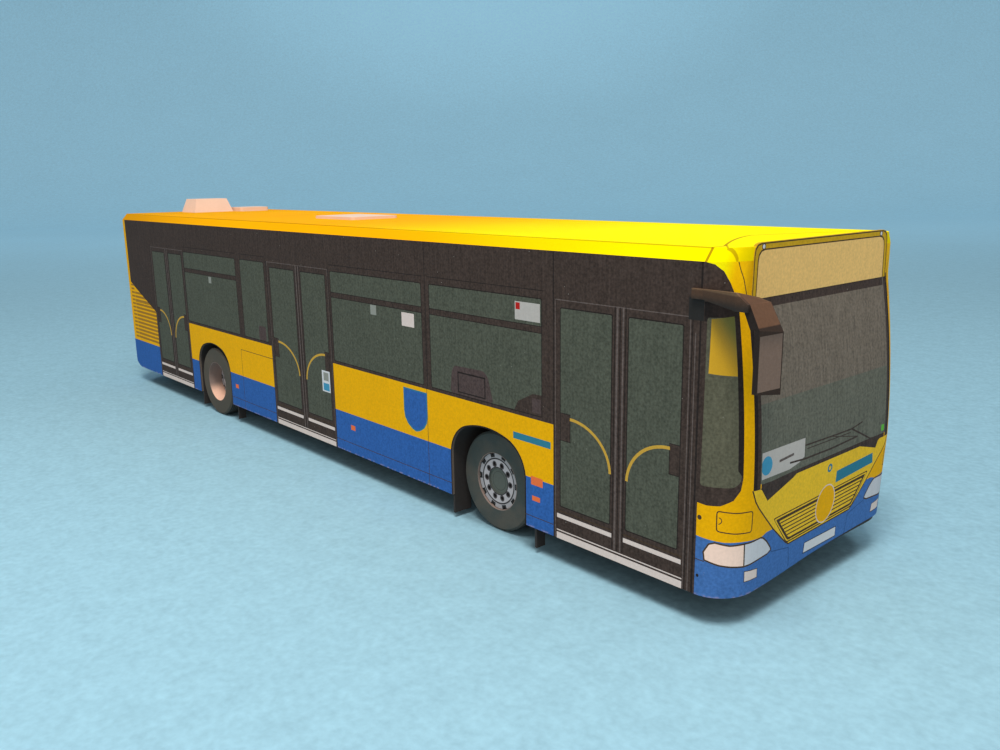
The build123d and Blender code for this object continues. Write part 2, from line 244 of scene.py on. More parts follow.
# ---- Shader helpers ----
def linear_colour(colour):
    """Linear colour of an ink's name, of three numbers from 0 to 255, or of a setting."""
    if isinstance(colour, str):
        colour = getattr(bpy.context.scene.card_bus_inks, colour)
    return srgb(*colour) if isinstance(colour, tuple) else tuple(colour)


def arithmetic(operation, swapped=False):
    """Method that adds a Math node for two values."""
    def method(self, other):
        first, second = (other, self) if swapped else (self, other)
        return self.finish.make("ShaderNodeMath", {"operation": operation}, {0: first, 1: second})
    return method


def single(operation):
    """Method that adds a Math node for one value."""
    def method(self):
        return self.finish.make("ShaderNodeMath", {"operation": operation}, {0: self})
    return method


class Value:
    """A shader value; arithmetic on it adds Math nodes."""

    def __init__(self, finish, socket):
        self.finish = finish
        self.socket = socket

    __add__ = __radd__ = arithmetic("ADD")
    __sub__ = arithmetic("SUBTRACT")
    __rsub__ = arithmetic("SUBTRACT", swapped=True)
    __mul__ = __rmul__ = arithmetic("MULTIPLY")
    __truediv__ = arithmetic("DIVIDE")
    __rtruediv__ = arithmetic("DIVIDE", swapped=True)
    __pow__ = arithmetic("POWER")
    __rpow__ = arithmetic("POWER", swapped=True)
    __gt__ = arithmetic("GREATER_THAN")
    __lt__ = arithmetic("LESS_THAN")
    __abs__ = single("ABSOLUTE")
    arctan2 = arithmetic("ARCTAN2")
    at_least = arithmetic("MAXIMUM")
    at_most = arithmetic("MINIMUM")
    fraction = single("FRACT")
    root = single("SQRT")

    def step(self, low, high):
        """0 below low, 1 above high, smooth between."""
        return self.finish.make(
            "ShaderNodeMapRange", {"interpolation_type": "SMOOTHSTEP"},
            {"Value": self, "From Min": low, "From Max": high})

    def within(self, half_width, softness=0.05):
        """1 where the value is nearer to 0 than half_width, with a soft edge."""
        return (half_width - abs(self)).step(0.0, softness)


def distance(u, v):
    """Length of a flat vector."""
    return (u * u + v * v).root()


class Finish:
    """A material, its node tree and the colour laid so far."""

    def __init__(self, name, base=None):
        self.material = bpy.data.materials.new(name)
        self.material.use_nodes = True
        self.tree = self.material.node_tree
        self.shader = self.tree.nodes["Principled BSDF"]
        self.place = None
        self.base = base

    def connect(self, socket, value):
        """Links a value to a socket, or sets the socket to a number, vector or colour."""
        if isinstance(value, Value):
            self.tree.links.new(value.socket, socket)
        elif socket.type == "RGBA":
            socket.default_value = (*linear_colour(value), 1.0)
        else:
            socket.default_value = value

    def make(self, kind, settings, sockets, output=0):
        """Adds a node: its settings first, then values or links for its sockets."""
        node = self.tree.nodes.new(kind)
        for key, value in settings.items():
            setattr(node, key, value)
        for key, value in sockets.items():
            self.connect(node.inputs[key], value)
        return Value(self, node.outputs[output])

    def position(self):
        """Place on the model in millimetres."""
        if self.place is None:
            coordinates = self.make("ShaderNodeTexCoord", {}, {}, "Object")
            self.place = self.make(
                "ShaderNodeVectorMath", {"operation": "SCALE"}, {0: coordinates, "Scale": 1 / MM})
        return self.place

    def axes(self):
        """The three coordinates in millimetres."""
        parts = self.tree.nodes.new("ShaderNodeSeparateXYZ")
        self.connect(parts.inputs[0], self.position())
        return [Value(self, output) for output in parts.outputs]

    def stretched(self, x, y, z):
        """Place multiplied by a different number along each axis."""
        return self.make(
            "ShaderNodeVectorMath", {"operation": "MULTIPLY"}, {0: self.position(), 1: (x, y, z)})

    def noise(self, scale, detail=2.0, where=None):
        return self.make(
            "ShaderNodeTexNoise", {},
            {"Vector": where or self.position(), "Scale": scale, "Detail": detail})

    def blend(self, factor, first, second):
        """Colour between two colours: the first at 0, the second at 1."""
        return self.make("ShaderNodeMix", {"data_type": "RGBA"}, {0: factor, 6: first, 7: second}, 2)

    def over(self, mask, colour):
        """Lays a colour over the base where the mask is 1."""
        self.base = self.blend(mask, self.base, colour)

    def brighten(self, amount):
        """Makes the base lighter or darker by a factor round 1."""
        base = self.base if isinstance(self.base, Value) else linear_colour(self.base)
        self.base = self.make("ShaderNodeVectorMath", {"operation": "SCALE"}, {0: base, "Scale": amount})

    def coat(self, fine, contrast=0.0, roughness=0.62, spread=0.16, gloss=INK_GLOSS, relief=None):
        """Ends a finish: a fine noise varies tone and roughness, and a relief goes on top."""
        if contrast:
            self.brighten(1.0 + (fine - 0.5) * contrast)
        height, strength, depth = relief or (self.noise(*CARD_FIBRES), 0.3, 0.016)
        bumps = self.make(
            "ShaderNodeBump", {}, {"Strength": strength, "Distance": depth * MM, "Height": height})
        if spread:
            roughness = roughness + (fine - 0.5) * spread
        for socket, value in (
            ("Base Color", self.base), ("Roughness", roughness),
            ("Specular IOR Level", gloss), ("Normal", bumps),
        ):
            self.connect(self.shader.inputs[socket], value)
        return self.material


# Grain, banding and pale specks of the inks that show them more than PLAIN_PRINT.
PLAIN_PRINT = (0.10, 0.04, 0.0)
INK_DETAIL = {
    "yellow": (0.20, 0.03, 0.0),
    "front_yellow": (0.26, 0.04, 0.0),
    "blue": (0.42, 0.08, 0.35),
    "front_blue": (0.42, 0.08, 0.3),
    "navy": (0.40, 0.05, 0.0),
    "dark": (0.70, 0.34, 0.8),
    "seal": (0.60, 0.10, 0.0),
    "line": (0.60, 0.04, 0.0),
    "jamb": (0.60, 0.10, 0.0),
    "glass": (0.66, 0.20, 0.6),
    "screen": (0.60, 0.30, 0.8),
    "haze": (0.60, 0.26, 0.6),
    "quarter": (0.60, 0.16, 0.5),
    "seat": (0.60, 0.16, 0.0),
    "cream": (0.24, 0.05, 0.0),
    "rim_gold": (0.30, 0.04, 0.0),
}
RUBBED_INKS = ("blue", "front_blue")
inks = {}


def ink(name):
    """The material of one ink or of bare card, made once."""
    if name not in inks:
        special = {"edge": card_edge, "back": card_back, "glow": quarter_glow, "cap": cap_yellow}
        inks[name] = special[name]() if name in special else paper_print(name)
    return inks[name]


def paper_print(name):
    """Laser print on card: fine grain, upright raster bands, pale specks and rubbed lower edges."""
    grain, banding, specks = INK_DETAIL.get(name, PLAIN_PRINT)
    finish = Finish("print_" + name, name)
    fine = finish.noise(*PRINT_GRAIN)
    bands = finish.noise(1.0, 1.0, finish.stretched(4.4, 4.4, 0.20))
    cloud = finish.noise(0.16)
    finish.brighten(
        1.0 + (fine - 0.5) * (grain * 2) + (bands - 0.5) * (banding * 2) + (cloud - 0.5) * 0.10)
    if specks:
        spots = finish.make(
            "ShaderNodeTexVoronoi", {}, {"Vector": finish.position(), "Scale": 1.15}, "Distance")
        chance = finish.noise(0.9, 0.0).step(0.54, 0.62)
        finish.over((0.060 - spots).step(0.0, 0.03) * chance * (specks * 0.55), (204, 198, 188))
    if name in RUBBED_INKS:
        height = finish.axes()[2]
        ragged = finish.noise(1.9, 3.0).step(0.46, 0.62)
        finish.over((SKIRT_Z + 0.22 - height).step(0.0, 0.20) * ragged * 0.7, (150, 140, 176))
    return finish.coat(fine)


def plain_card(name, colour, grain=0.06, roughness=0.75):
    """Unprinted card with fibres, for edges and backs."""
    finish = Finish(name, colour)
    fibre = finish.noise(5.0, 4.0)
    cloud = finish.noise(0.4)
    finish.brighten(1.0 + (fibre - 0.5) * (grain * 2) + (cloud - 0.5) * 0.12)
    return finish.coat(fibre, 0.0, roughness, 0.2, CARD_GLOSS, (fibre, 0.4, 0.03))


def card_edge():
    return plain_card("card_edge", CARD_CUT, 0.16)


def card_back():
    return plain_card("card_back", CARD_WHITE)


# ---- Layout helpers ----
def arc(cx, cz, rx, rz, start, end, steps):
    """Points along an ellipse between two angles in degrees."""
    angles = [math.radians(start + (end - start) * i / steps) for i in range(steps + 1)]
    return [(cx + rx * math.cos(a), cz + rz * math.sin(a)) for a in angles]


def rounded(x0, x1, z0, z1, radius=0.0):
    """Rectangle with rounded corners."""
    if not radius:
        return [(x0, z0), (x1, z0), (x1, z1), (x0, z1)]
    points = []
    corners = ((x1 - radius, z0 + radius, -90), (x1 - radius, z1 - radius, 0),
               (x0 + radius, z1 - radius, 90), (x0 + radius, z0 + radius, 180))
    for cx, cz, start in corners:
        points += arc(cx, cz, radius, radius, start, start + 90, 4)
    return points


def softened(points, radius, steps=3):
    """Closed outline with its corners rounded."""
    result = []
    for i, here in enumerate(points):
        before, after = Vector(points[i - 1]), Vector(points[(i + 1) % len(points)])
        here = Vector(here)
        to_before, to_after = before - here, after - here
        cut = min(radius, to_before.length * 0.45, to_after.length * 0.45)
        start, end = here + to_before.normalized() * cut, here + to_after.normalized() * cut
        for k in range(steps + 1):
            t = k / steps
            result.append(tuple(start * (1 - t) ** 2 + here * (2 * t * (1 - t)) + end * t ** 2))
    return result


def upright(x, low, high):
    """Ends of an upright line."""
    return [(x, low), (x, high)]


def level(left, right, z):
    """Ends of a level line."""
    return [(left, z), (right, z)]


def area_of(points):
    return sum(x0 * z1 - x1 * z0 for (x0, z0), (x1, z1) in zip(points, points[1:] + points[:1])) / 2


class Layout:
    """One printed panel: areas in the order they are laid down, on a flat sheet."""

    def __init__(self, outline, base):
        self.areas = [(base, list(outline))]
        self.creases = []

    def area(self, name, points):
        self.areas.append((name, [tuple(p) for p in points]))

    def box(self, name, x0, x1, z0, z1, radius=0.0):
        self.area(name, rounded(min(x0, x1), max(x0, x1), z0, z1, radius))

    def disc(self, name, x, z, rx, rz=None, steps=20):
        self.area(name, arc(x, z, rx, rz or rx, 0, 360 - 360 / steps, steps - 1))

    def line(self, name, points, width, closed=False):
        """Line of even width through points, with mitred joints."""
        points = [Vector(p) for p in points]
        count = len(points)
        spans = range(count if closed else count - 1)
        legs = [(points[(i + 1) % count] - points[i]).normalized() for i in spans]
        left, right = [], []
        for i, here in enumerate(points):
            near = [legs[k] for k in (i - 1, i) if closed or 0 <= k < len(legs)]
            along = sum(near, Vector((0, 0)))
            along = along.normalized() if along.length > 1e-6 else near[0]
            reach = width / 2 / max(0.5, along.dot(near[0]))
            across = Vector((-along.y, along.x)) * reach
            left.append(here + across)
            right.append(here - across)
        for i in spans:
            k = (i + 1) % count
            self.area(name, [left[i], right[i], right[k], left[k]])

    def lay(self, *rows, side=1):
        """Lays rows that start with an ink: points make an area, points and a width a line,
        and four or five numbers a box. A side of -1 mirrors them."""
        for name, first, *rest in rows:
            if not isinstance(first, list):
                self.box(name, side * first, side * rest[0], *rest[1:])
                continue
            points = [(side * x, z) for x, z in first]
            if rest:
                self.line(name, points, *rest)
            else:
                self.area(name, points)

    def crease(self, start, end):
        """Line where the sheet bends, so that its faces follow the curve."""
        self.creases.append((start, end))


def build_panel(name, layout, place, node, curved=False, thickness=CARD, outward=1, edge="edge"):
    """Solid card panel from a layout, bent to its place; it stands for a CAD node, if one is given."""
    flat, edges, loops = [], [], []
    for _, points in layout.areas:
        if area_of(points) < 0:
            points = points[::-1]
        loops.append(list(range(len(flat), len(flat) + len(points))))
        flat += points
    for start, end in layout.creases:
        edges.append((len(flat), len(flat) + 1))
        flat += [start, end]
    made = delaunay_2d_cdt([Vector(p) for p in flat], edges, loops, 1, 1e-4, True)
    sheet, triangles, origins = made[0], made[2], made[5]
    kept, names = [], []
    for triangle, origin in zip(triangles, origins):
        if 0 in origin:
            kept.append(list(triangle)[::outward])
            names.append(layout.areas[max(origin)][0])
    used = sorted({i for t in kept for i in t})
    number = {old: new for new, old in enumerate(used)}
    kept = [[number[i] for i in t] for t in kept]
    sheet = [sheet[i] for i in used]
    count = len(sheet)
    verts = [Vector(place(p.x, p.y, depth)) * MM for depth in (0.0, thickness) for p in sheet]
    directed = {(t[i], t[(i + 1) % 3]) for t in kept for i in range(3)}
    rim = [(b, a, a + count, b + count) for a, b in directed if (b, a) not in directed]
    back = [[i + count for i in t[::-1]] for t in kept]
    mesh = bpy.data.meshes.new(name)
    mesh.from_pydata([tuple(v) for v in verts], [], kept + back + rim)
    order = sorted(set(names))
    for entry in (*order, "back", edge):
        mesh.materials.append(ink(entry))
    slots = [order.index(n) for n in names] + [len(order)] * len(back) + [len(order) + 1] * len(rim)
    mesh.polygons.foreach_set("material_index", slots)
    if curved:
        mesh.polygons.foreach_set("use_smooth", [True] * len(slots))
        mesh.normals_split_custom_set(panel_normals(mesh, sheet, place, len(kept), outward))
    mesh.update()
    add_piece(name, mesh, node)


def panel_normals(mesh, sheet, place, front_count, outward):
    """Normals of the bent sheet, worked out from how it is placed."""
    step = 0.02
    smooth = []
    for p in sheet:
        across = Vector(place(p.x + step, p.y, 0)) - Vector(place(p.x - step, p.y, 0))
        up = Vector(place(p.x, p.y + step, 0)) - Vector(place(p.x, p.y - step, 0))
        smooth.append(across.cross(up).normalized() * outward)
    normals = []
    for polygon in mesh.polygons:
        for vertex in polygon.vertices:
            if polygon.index < front_count:
                normals.append(smooth[vertex])
            elif polygon.index < 2 * front_count:
                normals.append(-smooth[vertex - len(sheet)])
            else:
                normals.append(polygon.normal.copy())
    return normals


def add_object(name, data):
    """New object in the scene."""
    made = bpy.data.objects.new(name, data)
    bpy.context.scene.collection.objects.link(made)
    return made


def add_piece(name, mesh, node):
    """Adds a mesh, rides it on the body and hides the CAD node that it stands for."""
    piece = add_object(name, mesh)
    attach(piece, "body")
    if node:
        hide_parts(node)


# ---- Sides ----
def arch_edge(end, side):
    """Outline of a wheel arch, from its front leg over the crown to its rear leg."""
    low, high = box_mm(f"axle_cheek_{end}_{side}")
    middle = (low.x + high.x) / 2
    shoulder_x = (high.x - low.x) / 2 - CARD - ARCH_SHOULDER
    lean = math.degrees(math.asin(shoulder_x / (ARCH_CROWN - ARCH_SHOULDER)))
    crown_z = high.z - CARD - ARCH_CROWN
    shoulder_z = crown_z + shoulder_x / math.tan(math.radians(lean))
    front = arc(middle + shoulder_x, shoulder_z, ARCH_SHOULDER, ARCH_SHOULDER, 0, 90 - lean, 10)
    crown = arc(middle, crown_z, ARCH_CROWN, ARCH_CROWN, 90 - lean, 90 + lean, 8)
    rear = arc(middle - shoulder_x, shoulder_z, ARCH_SHOULDER, ARCH_SHOULDER, 90 + lean, 180, 10)
    return [(front[0][0], SKIRT_Z)] + front + crown[1:-1] + rear + [(rear[-1][0], SKIRT_Z)]


def side_outline(side):
    """Outline of a side panel with its two arches, in x and z."""
    points = [(SIDE_LOW.x, FOLD_Z), (SIDE_LOW.x, SKIRT_Z)]
    for end in ("rear", "front"):
        points += arch_edge(end, side)[::-1]
    return points + [(SIDE_HIGH.x, SKIRT_Z), (SIDE_HIGH.x, FOLD_Z)]


def station(value):
    """x of a place measured along the side, from a little behind the frame's origin."""
    return FRONT_X - STATION_FRONT + value


def lay_door(layout, left, right, split):
    """Double door: frame, two glazed leaves, rails, strips and sill."""
    left, right, split = station(left), station(right), station(split)
    top = sizes().door_high
    layout.lay(
        ("dark", left, right, SKIRT_Z, top + 0.1),
        ("jamb", upright(left + 0.22, SKIRT_Z, top) + upright(right - 0.22, SKIRT_Z, top)[::-1], 0.08),
        ("seal", upright(left + 0.03, SKIRT_Z, top + 0.1), 0.10),
        ("seal", upright(right - 0.03, SKIRT_Z, top + 0.1), 0.10),
        ("jamb", upright(split - 0.30, 3.5, top - 0.05), 0.20),
        ("jamb", upright(split + 0.30, 3.5, top - 0.05), 0.16),
    )
    for x in (split - 0.55, split, split + 0.55):
        layout.line("seal", upright(x, 3.5, top), 0.09)
    for outer, opener_width, drop in ((left, 1.08, 0.0), (right, 0.88, 0.15)):
        turn = 1 if split > outer else -1
        edge, middle = outer + 0.85 * turn, split - 0.87 * turn
        opener = edge + opener_width * turn
        rail = arc(opener, 9.75 - drop, abs(middle - opener), 3.80, 90, 2, 16)
        layout.lay(
            ("seal", edge - 0.09 * turn, middle + 0.09 * turn, 5.52, 22.90, 0.18),
            ("glass", edge, middle, 5.62, 22.80, 0.12),
            ("seal", edge - 0.02 * turn, opener + 0.06 * turn, 11.50 - drop, 13.96 - drop),
            ("dark", edge - 0.02 * turn, opener, 11.56 - drop, 13.90 - drop),
            ("rail", [(opener + (x - opener) * turn, z) for x, z in rail], 0.26),
            ("pale", outer + 0.42 * turn, split - 0.62 * turn, 4.48, 4.86),
            ("line", outer + 0.36 * turn, split - 0.56 * turn, 5.10, 5.17),
        )
    layout.box("pale", left + 0.38, right - 0.30, 3.30, 3.40)
    layout.box("pale", left + 0.38, right - 0.30, SKIRT_Z, 3.14)


def lay_window(layout, left, right, hopper=True, low=None):
    """Printed window with its seal and, if wanted, a hopper bar."""
    left, right, high = station(left), station(right), sizes().window_high
    low = sizes().window_low if low is None else low
    layout.box("seal", left - 0.09, right + 0.09, low - 0.09, high + 0.09, 0.20)
    layout.box("glass", left, right, low, high, 0.14)
    if hopper:
        bar = sizes().hopper_low, sizes().hopper_high
        layout.box("dark", left, right, *bar)
        for z in bar:
            layout.line("seal", level(left, right, z), 0.07)
    layout.line("seal", level(left - 0.3, right + 0.3, high + 0.75), 0.07)


def lay_body_colours(layout):
    """Blue below, yellow above it, the dark window band and the louvres."""
    start, end, foot = SIDE_LOW.x - 1, SIDE_HIGH.x + 1, station(-48.7)
    stripe = sizes().stripe_height
    slant = [(x, TAIL_HEIGHT - TAIL_SLOPE * (x - station(TAIL_START))) for x in (start, foot)]
    louvres = [LOUVRE_LOW + LOUVRE_PITCH * i for i in range(LOUVRE_COUNT)]
    layout.lay(
        ("blue", start, end, SKIRT_Z - 1, stripe),
        ("dark", start, end, sizes().sill_height, FOLD_Z + 1),
        ("yellow", level(start, foot, stripe) + slant[::-1]),
        *(("louvre", level(station(-58.3), station(-49.3), z), 0.36) for z in louvres),
        ("dark", slant + level(foot, start, 20)),
        ("seal", slant, 0.12),
    )


def lay_common_lines(layout, side):
    """Arch rims, low panel line and seams that both sides have."""
    front, rear = arch_edge("front", side), arch_edge("rear", side)
    layout.lay(
        ("seal", front, 0.30),
        ("seal", rear, 0.30),
        ("line", level(rear[0][0], front[-1][0], 3.75), 0.07),
        ("line", level(front[0][0], station(41.6), 3.62), 0.07),
        ("line", upright(station(23.6), SKIRT_Z, sizes().sill_height), 0.075),
        ("line", upright(station(-18.8), SKIRT_Z, 11.0) + [(station(-9.6), 11.0)], 0.075),
        ("line", level(station(-59), station(-50.6), 13.9), 0.06),
    )


def right_side_layout():
    """Door side of the bus."""
    layout = Layout(side_outline("right"), "yellow")
    lay_body_colours(layout)
    lay_common_lines(layout, "right")
    for window in ((-36.0, -18.7), (-17.1, -10.4, False), (5.95, 23.1), (24.5, 40.2)):
        lay_window(layout, *window)
    layout.line("seal", upright(station(23.8), sizes().sill_height, FOLD_Z), 0.10)
    layout.line("seal", upright(station(41.66), 23, FOLD_Z), 0.12)
    for door in ((-49.4, -36.2, -42.8), (-9.6, 5.5, -1.75), (41.66, 55.72, 48.95)):
        lay_door(layout, *door)
    layout.lay(
        ("dark", station(55.72), SIDE_HIGH.x + 1, SKIRT_Z - 1, FOLD_Z + 1),
        ("jamb", upright(station(55.95), SKIRT_Z, 22.4), 0.09),
        ("seal", upright(station(56.35), SKIRT_Z, FOLD_Z), 0.16),
        # Painted shadow of the mirror's arm: a dark box on the side below it.
        ("shade", station(55.3), SIDE_HIGH.x + 1, 23.3, 24.9),
    )
    lay_seats(layout)
    for name, left, right, low, high in (
        ("sticker", 13.95, 15.05, 19.3, 20.35), ("pale", 19.7, 21.85, 18.75, 20.15),
        ("sticker", -27.6, -26.7, 19.4, 20.3), ("label", 36.9, 40.05, 21.3, 22.9),
        ("red", 37.0, 37.55, 22.2, 22.8), ("white", 2.8, 4.6, 8.95, 11.5),
        ("disc_blue", 3.05, 4.4, 9.1, 10.0), ("sticker", 3.15, 4.3, 10.3, 11.3),
        ("orange", 8.75, 9.65, 5.38, 5.95), ("orange", -21.4, -20.5, 5.2, 5.75),
        ("orange", 38.8, 40.3, 6.62, 7.42), ("orange", 38.93, 39.95, 5.15, 5.6),
    ):
        layout.box(name, station(left), station(right), low, high)
    lay_shield(layout, station(21.55), 12.3)
    layout.box("sash", station(36.5), station(41.3), 10.42, 11.05)
    return layout


def lay_seats(layout):
    """Dark seat shapes behind the printed glass."""
    low = 13.12
    back = [(27.5, low), (27.75, 15.2), (28.15, 15.85), (32.5, 15.95), (33.1, 15.5), (33.85, low)]
    tall = [(36.7, low), (37.2, 14.0), (38.3, 14.55), (39.1, 14.95), (40.2, 15.0), (40.2, low)]
    layout.lay(
        ("seat", softened([(station(x), z) for x, z in back], 0.4)),
        ("seal", station(28.65), station(32.75), 13.3, 15.35),
        ("seat", station(28.8), station(32.6), 13.42, 15.2),
        ("dark", [(station(x), z) for x, z in tall]),
        ("seat", station(39.0), station(40.1), 13.3, 14.6),
        ("seat", station(-12.9), station(-10.9), low, 15.0, 0.3),
    )


def lay_shield(layout, x, top):
    """Plain shield without charges."""
    def outline(inset):
        side, low = 2.05 - inset, 4.45 - 1.2 * inset
        left = [(x - side, top - inset)]
        left += [(x - side * across, top - low * down)
                 for across, down in ((1, 0.55), (0.93, 0.72), (0.70, 0.86), (0.33, 0.96))]
        return left + [(x, top - low)] + [(2 * x - px, pz) for px, pz in left[::-1]]
    layout.area("sash", outline(0.0))
    layout.area("blue", outline(0.14))


def left_side_layout():
    """Side without doors."""
    layout = Layout(side_outline("left"), "yellow")
    lay_body_colours(layout)
    lay_common_lines(layout, "left")
    for window in ((-48.2, -37.4, False), (-36.0, -18.7), (-17.2, 3.4), (4.9, 23.1), (24.5, 40.2)):
        lay_window(layout, *window)
    sill = 10.9
    layout.box("dark", station(41.6), SIDE_HIGH.x + 1, sill - 0.5, 23.9)
    lay_window(layout, 42.6, 48.3, False, sill)
    lay_window(layout, 48.9, 55.4, False, sill)
    layout.lay(
        ("line", upright(station(41.6), SKIRT_Z, sill), 0.08),
        ("line", rounded(station(-47.5), station(-38.0), 3.9, 6.7, 0.3), 0.07, True),
        ("line", rounded(station(9.0), station(13.0), 8.4, 11.6, 0.3), 0.07, True),
        *(("orange", station(x), station(x + 0.95), 5.3, 5.85) for x in (8.75, -21.4, 38.8)),
    )
    return layout


# ---- Front ----
def setback(z):
    """How far the front stands behind its furthest point at one height."""
    if z <= BELT_Z:
        return sizes().skirt_tuck * (BELT_Z - z) / (BELT_Z - SKIRT_Z)
    if z >= SCREEN_TOP_Z:
        return SCREEN_LEAN
    bow, low, high = sizes().screen_bow, sizes().screen_bow_rise, SCREEN_TOP_Z - BELT_Z
    curve = (SCREEN_LEAN / high - bow / low) / (high - low)
    slope = bow / low - curve * low
    rise = z - BELT_Z
    return slope * rise + curve * rise * rise


def nose_place(s, z, depth):
    """Point of the front for a distance s round it from the middle, and a height."""
    forward = CORNER - setback(z) - depth
    turn = abs(s) - PILLAR_Y
    if turn <= 0:
        return SEAM_X + forward, s, z
    angle = turn / CORNER_ARC * math.pi / 2
    side = math.copysign(PILLAR_Y + (CORNER - depth) * math.sin(angle), s)
    return SEAM_X + forward * math.cos(angle), side, z


def bend_corners(layout, low, high, sides=(-1, 1), levels=0):
    """Creases round the rolled corners, and level ones for the bow."""
    for side in sides:
        for i in range(1, 15):
            s = side * (PILLAR_Y + CORNER_ARC * i / 15)
            layout.crease((s, low), (s, high))
    across = [s for s, _ in layout.areas[0][1]]
    for i in range(1, levels):
        z = low + (high - low) * i / levels
        layout.crease((min(across), z), (max(across), z))


def pillar_band(layout, side):
    """Dark quarter window, yellow strip and black seal, shared by post and lower panel, with the mirror
    arm's painted shadow in seal black over the window's top.
    """
    end, past = CORNER_END, CORNER_END + 0.5
    surround = [(end, 9.87), (13.8, 9.79), (12.8, 9.87), (11.9, 10.32), (11.4, 11.1), (11.25, 12.0),
                (11.22, 23.5), (11.32, 24.5), (11.56, 25.2), (11.98, 25.98), (12.62, 26.82),
                (13.52, 27.3), (end, FOLD_Z), (past, FOLD_Z), (past, 9.87)]
    glass = [(14.42, 11.22), (11.9, 11.3), (11.42, 11.7), (11.34, 12.9), (11.5, 23.6), (14.2, 23.6)]
    layout.lay(
        # The cap ink carries painted light: paler towards the roof, deeper orange beside the sign.
        ("cap", [(past, CAP_PALE), (10.45, CAP_PALE), (10.02, 26.0), (9.85, FOLD_Z + 0.1),
                 (past, FOLD_Z + 0.1)]),
        ("dark", surround),
        # Painted shadow of the mirror's arm over the top of the quarter window, in seal black.
        ("seal", [(14.55, 23.3), (11.3, 23.3), (11.3, 24.6), (14.55, 24.7)]),
        ("quarter", softened(glass, 0.3)),
        ("glow", [(13.98, 19.62), (11.66, 19.47), (11.68, 23.68), (13.74, 23.5)]),
        ("seal", [(11.66, 12.6), (11.25, 12.0), (11.22, 24.2), (11.66, 24.2)]),
        ("seal", 10.36, 10.0, 10.8, SCREEN_TOP_Z + 0.3),
        ("dark", 10.0, 9.62, BELT_Z, SCREEN_TOP_Z),
        ("screen", 9.62, 9.0, HAZE_TOP, SCREEN_TOP_Z),
        ("haze", 9.62, 9.0, 11.3, HAZE_TOP),
        ("line", [(10.42, 23.0), (10.5, 25.2), (10.8, 26.2), (11.18, 26.98), (11.35, 27.45)], 0.08),
        side=side,
    )


def post_layout(side):
    """Corner post beside the windscreen."""
    start, end = sorted((PILLAR_Y * side, CORNER_END * side))
    layout = Layout(rounded(start, end, BELT_Z, FOLD_Z), "yellow")
    pillar_band(layout, side)
    bend_corners(layout, BELT_Z, FOLD_Z, (side,), 14)
    return layout


def screen_layout():
    """Windscreen with its blank card, wipers and dark edges."""
    layout = Layout(rounded(-PILLAR_Y, PILLAR_Y, BELT_Z, SCREEN_TOP_Z), "screen")
    layout.lay(
        ("haze", -PILLAR_Y, PILLAR_Y, BELT_Z, HAZE_TOP),
        ("dark", -PILLAR_Y, PILLAR_Y, 24.02, SCREEN_TOP_Z),
        ("dark", [(-10, BELT_Z), (-10, 11.28), (-8.15, 11.19), (-5.15, 11.26), (5.4, 11.3), (10, 11.3),
                  (10, BELT_Z)]),
        ("label", [(-9.59, 11.58), (-5.79, 11.53), (-4.36, 11.77), (-3.65, 12.08), (-3.60, 13.55),
                   (-9.59, 13.60)]),
        ("disc_blue", arc(-8.86, 12.53, 0.72, 0.72, 0, 342, 19)),
        ("jamb", [(-7.2, 12.5), (-5.2, 12.62)], 0.20),
        ("dark", [(-3.6, 12.94), (0.83, 12.83), (3.67, 12.79), (5.5, 13.05)], 0.13),
        ("dark", [(-3.3, 12.62), (3.5, 12.52)], 0.08),
        ("dark", [(-5.73, 12.03), (-3.53, 11.87), (0.46, 11.82), (4.74, 11.95)], 0.15),
        ("dark", [(3.67, 12.79), (5.22, 12.1), (6.97, 11.29), (8.44, 11.11)], 0.15),
        ("dark", [(0.7, 12.75), (4.74, 11.95)], 0.07),
        ("green", 8.95, 9.42, 11.52, 12.08),
    )
    bend_corners(layout, BELT_Z, SCREEN_TOP_Z, (), 14)
    return layout


def ease(value, low, high):
    """0 below low, 1 above high, smooth between."""
    t = min(1.0, max(0.0, (value - low) / (high - low)))
    return t * t * (3 - 2 * t)


def lifted(s, z):
    """Point of the front strip where it was really glued: a little high and short on the left."""
    if z >= BELT_Z:
        return s, z
    lift = ease(s, -8.0, 10.0) * (1 - ease(s, 10.5, 14.6))
    rise = sizes().strip_lift * lift * min(1.0, (BELT_Z - z) / 2)
    if z <= SKIRT_Z:
        rise += sizes().edge_lift * ease(s, -11.0, 1.0) * (1 - ease(s, 11.0, 14.6))
    return s, z + rise


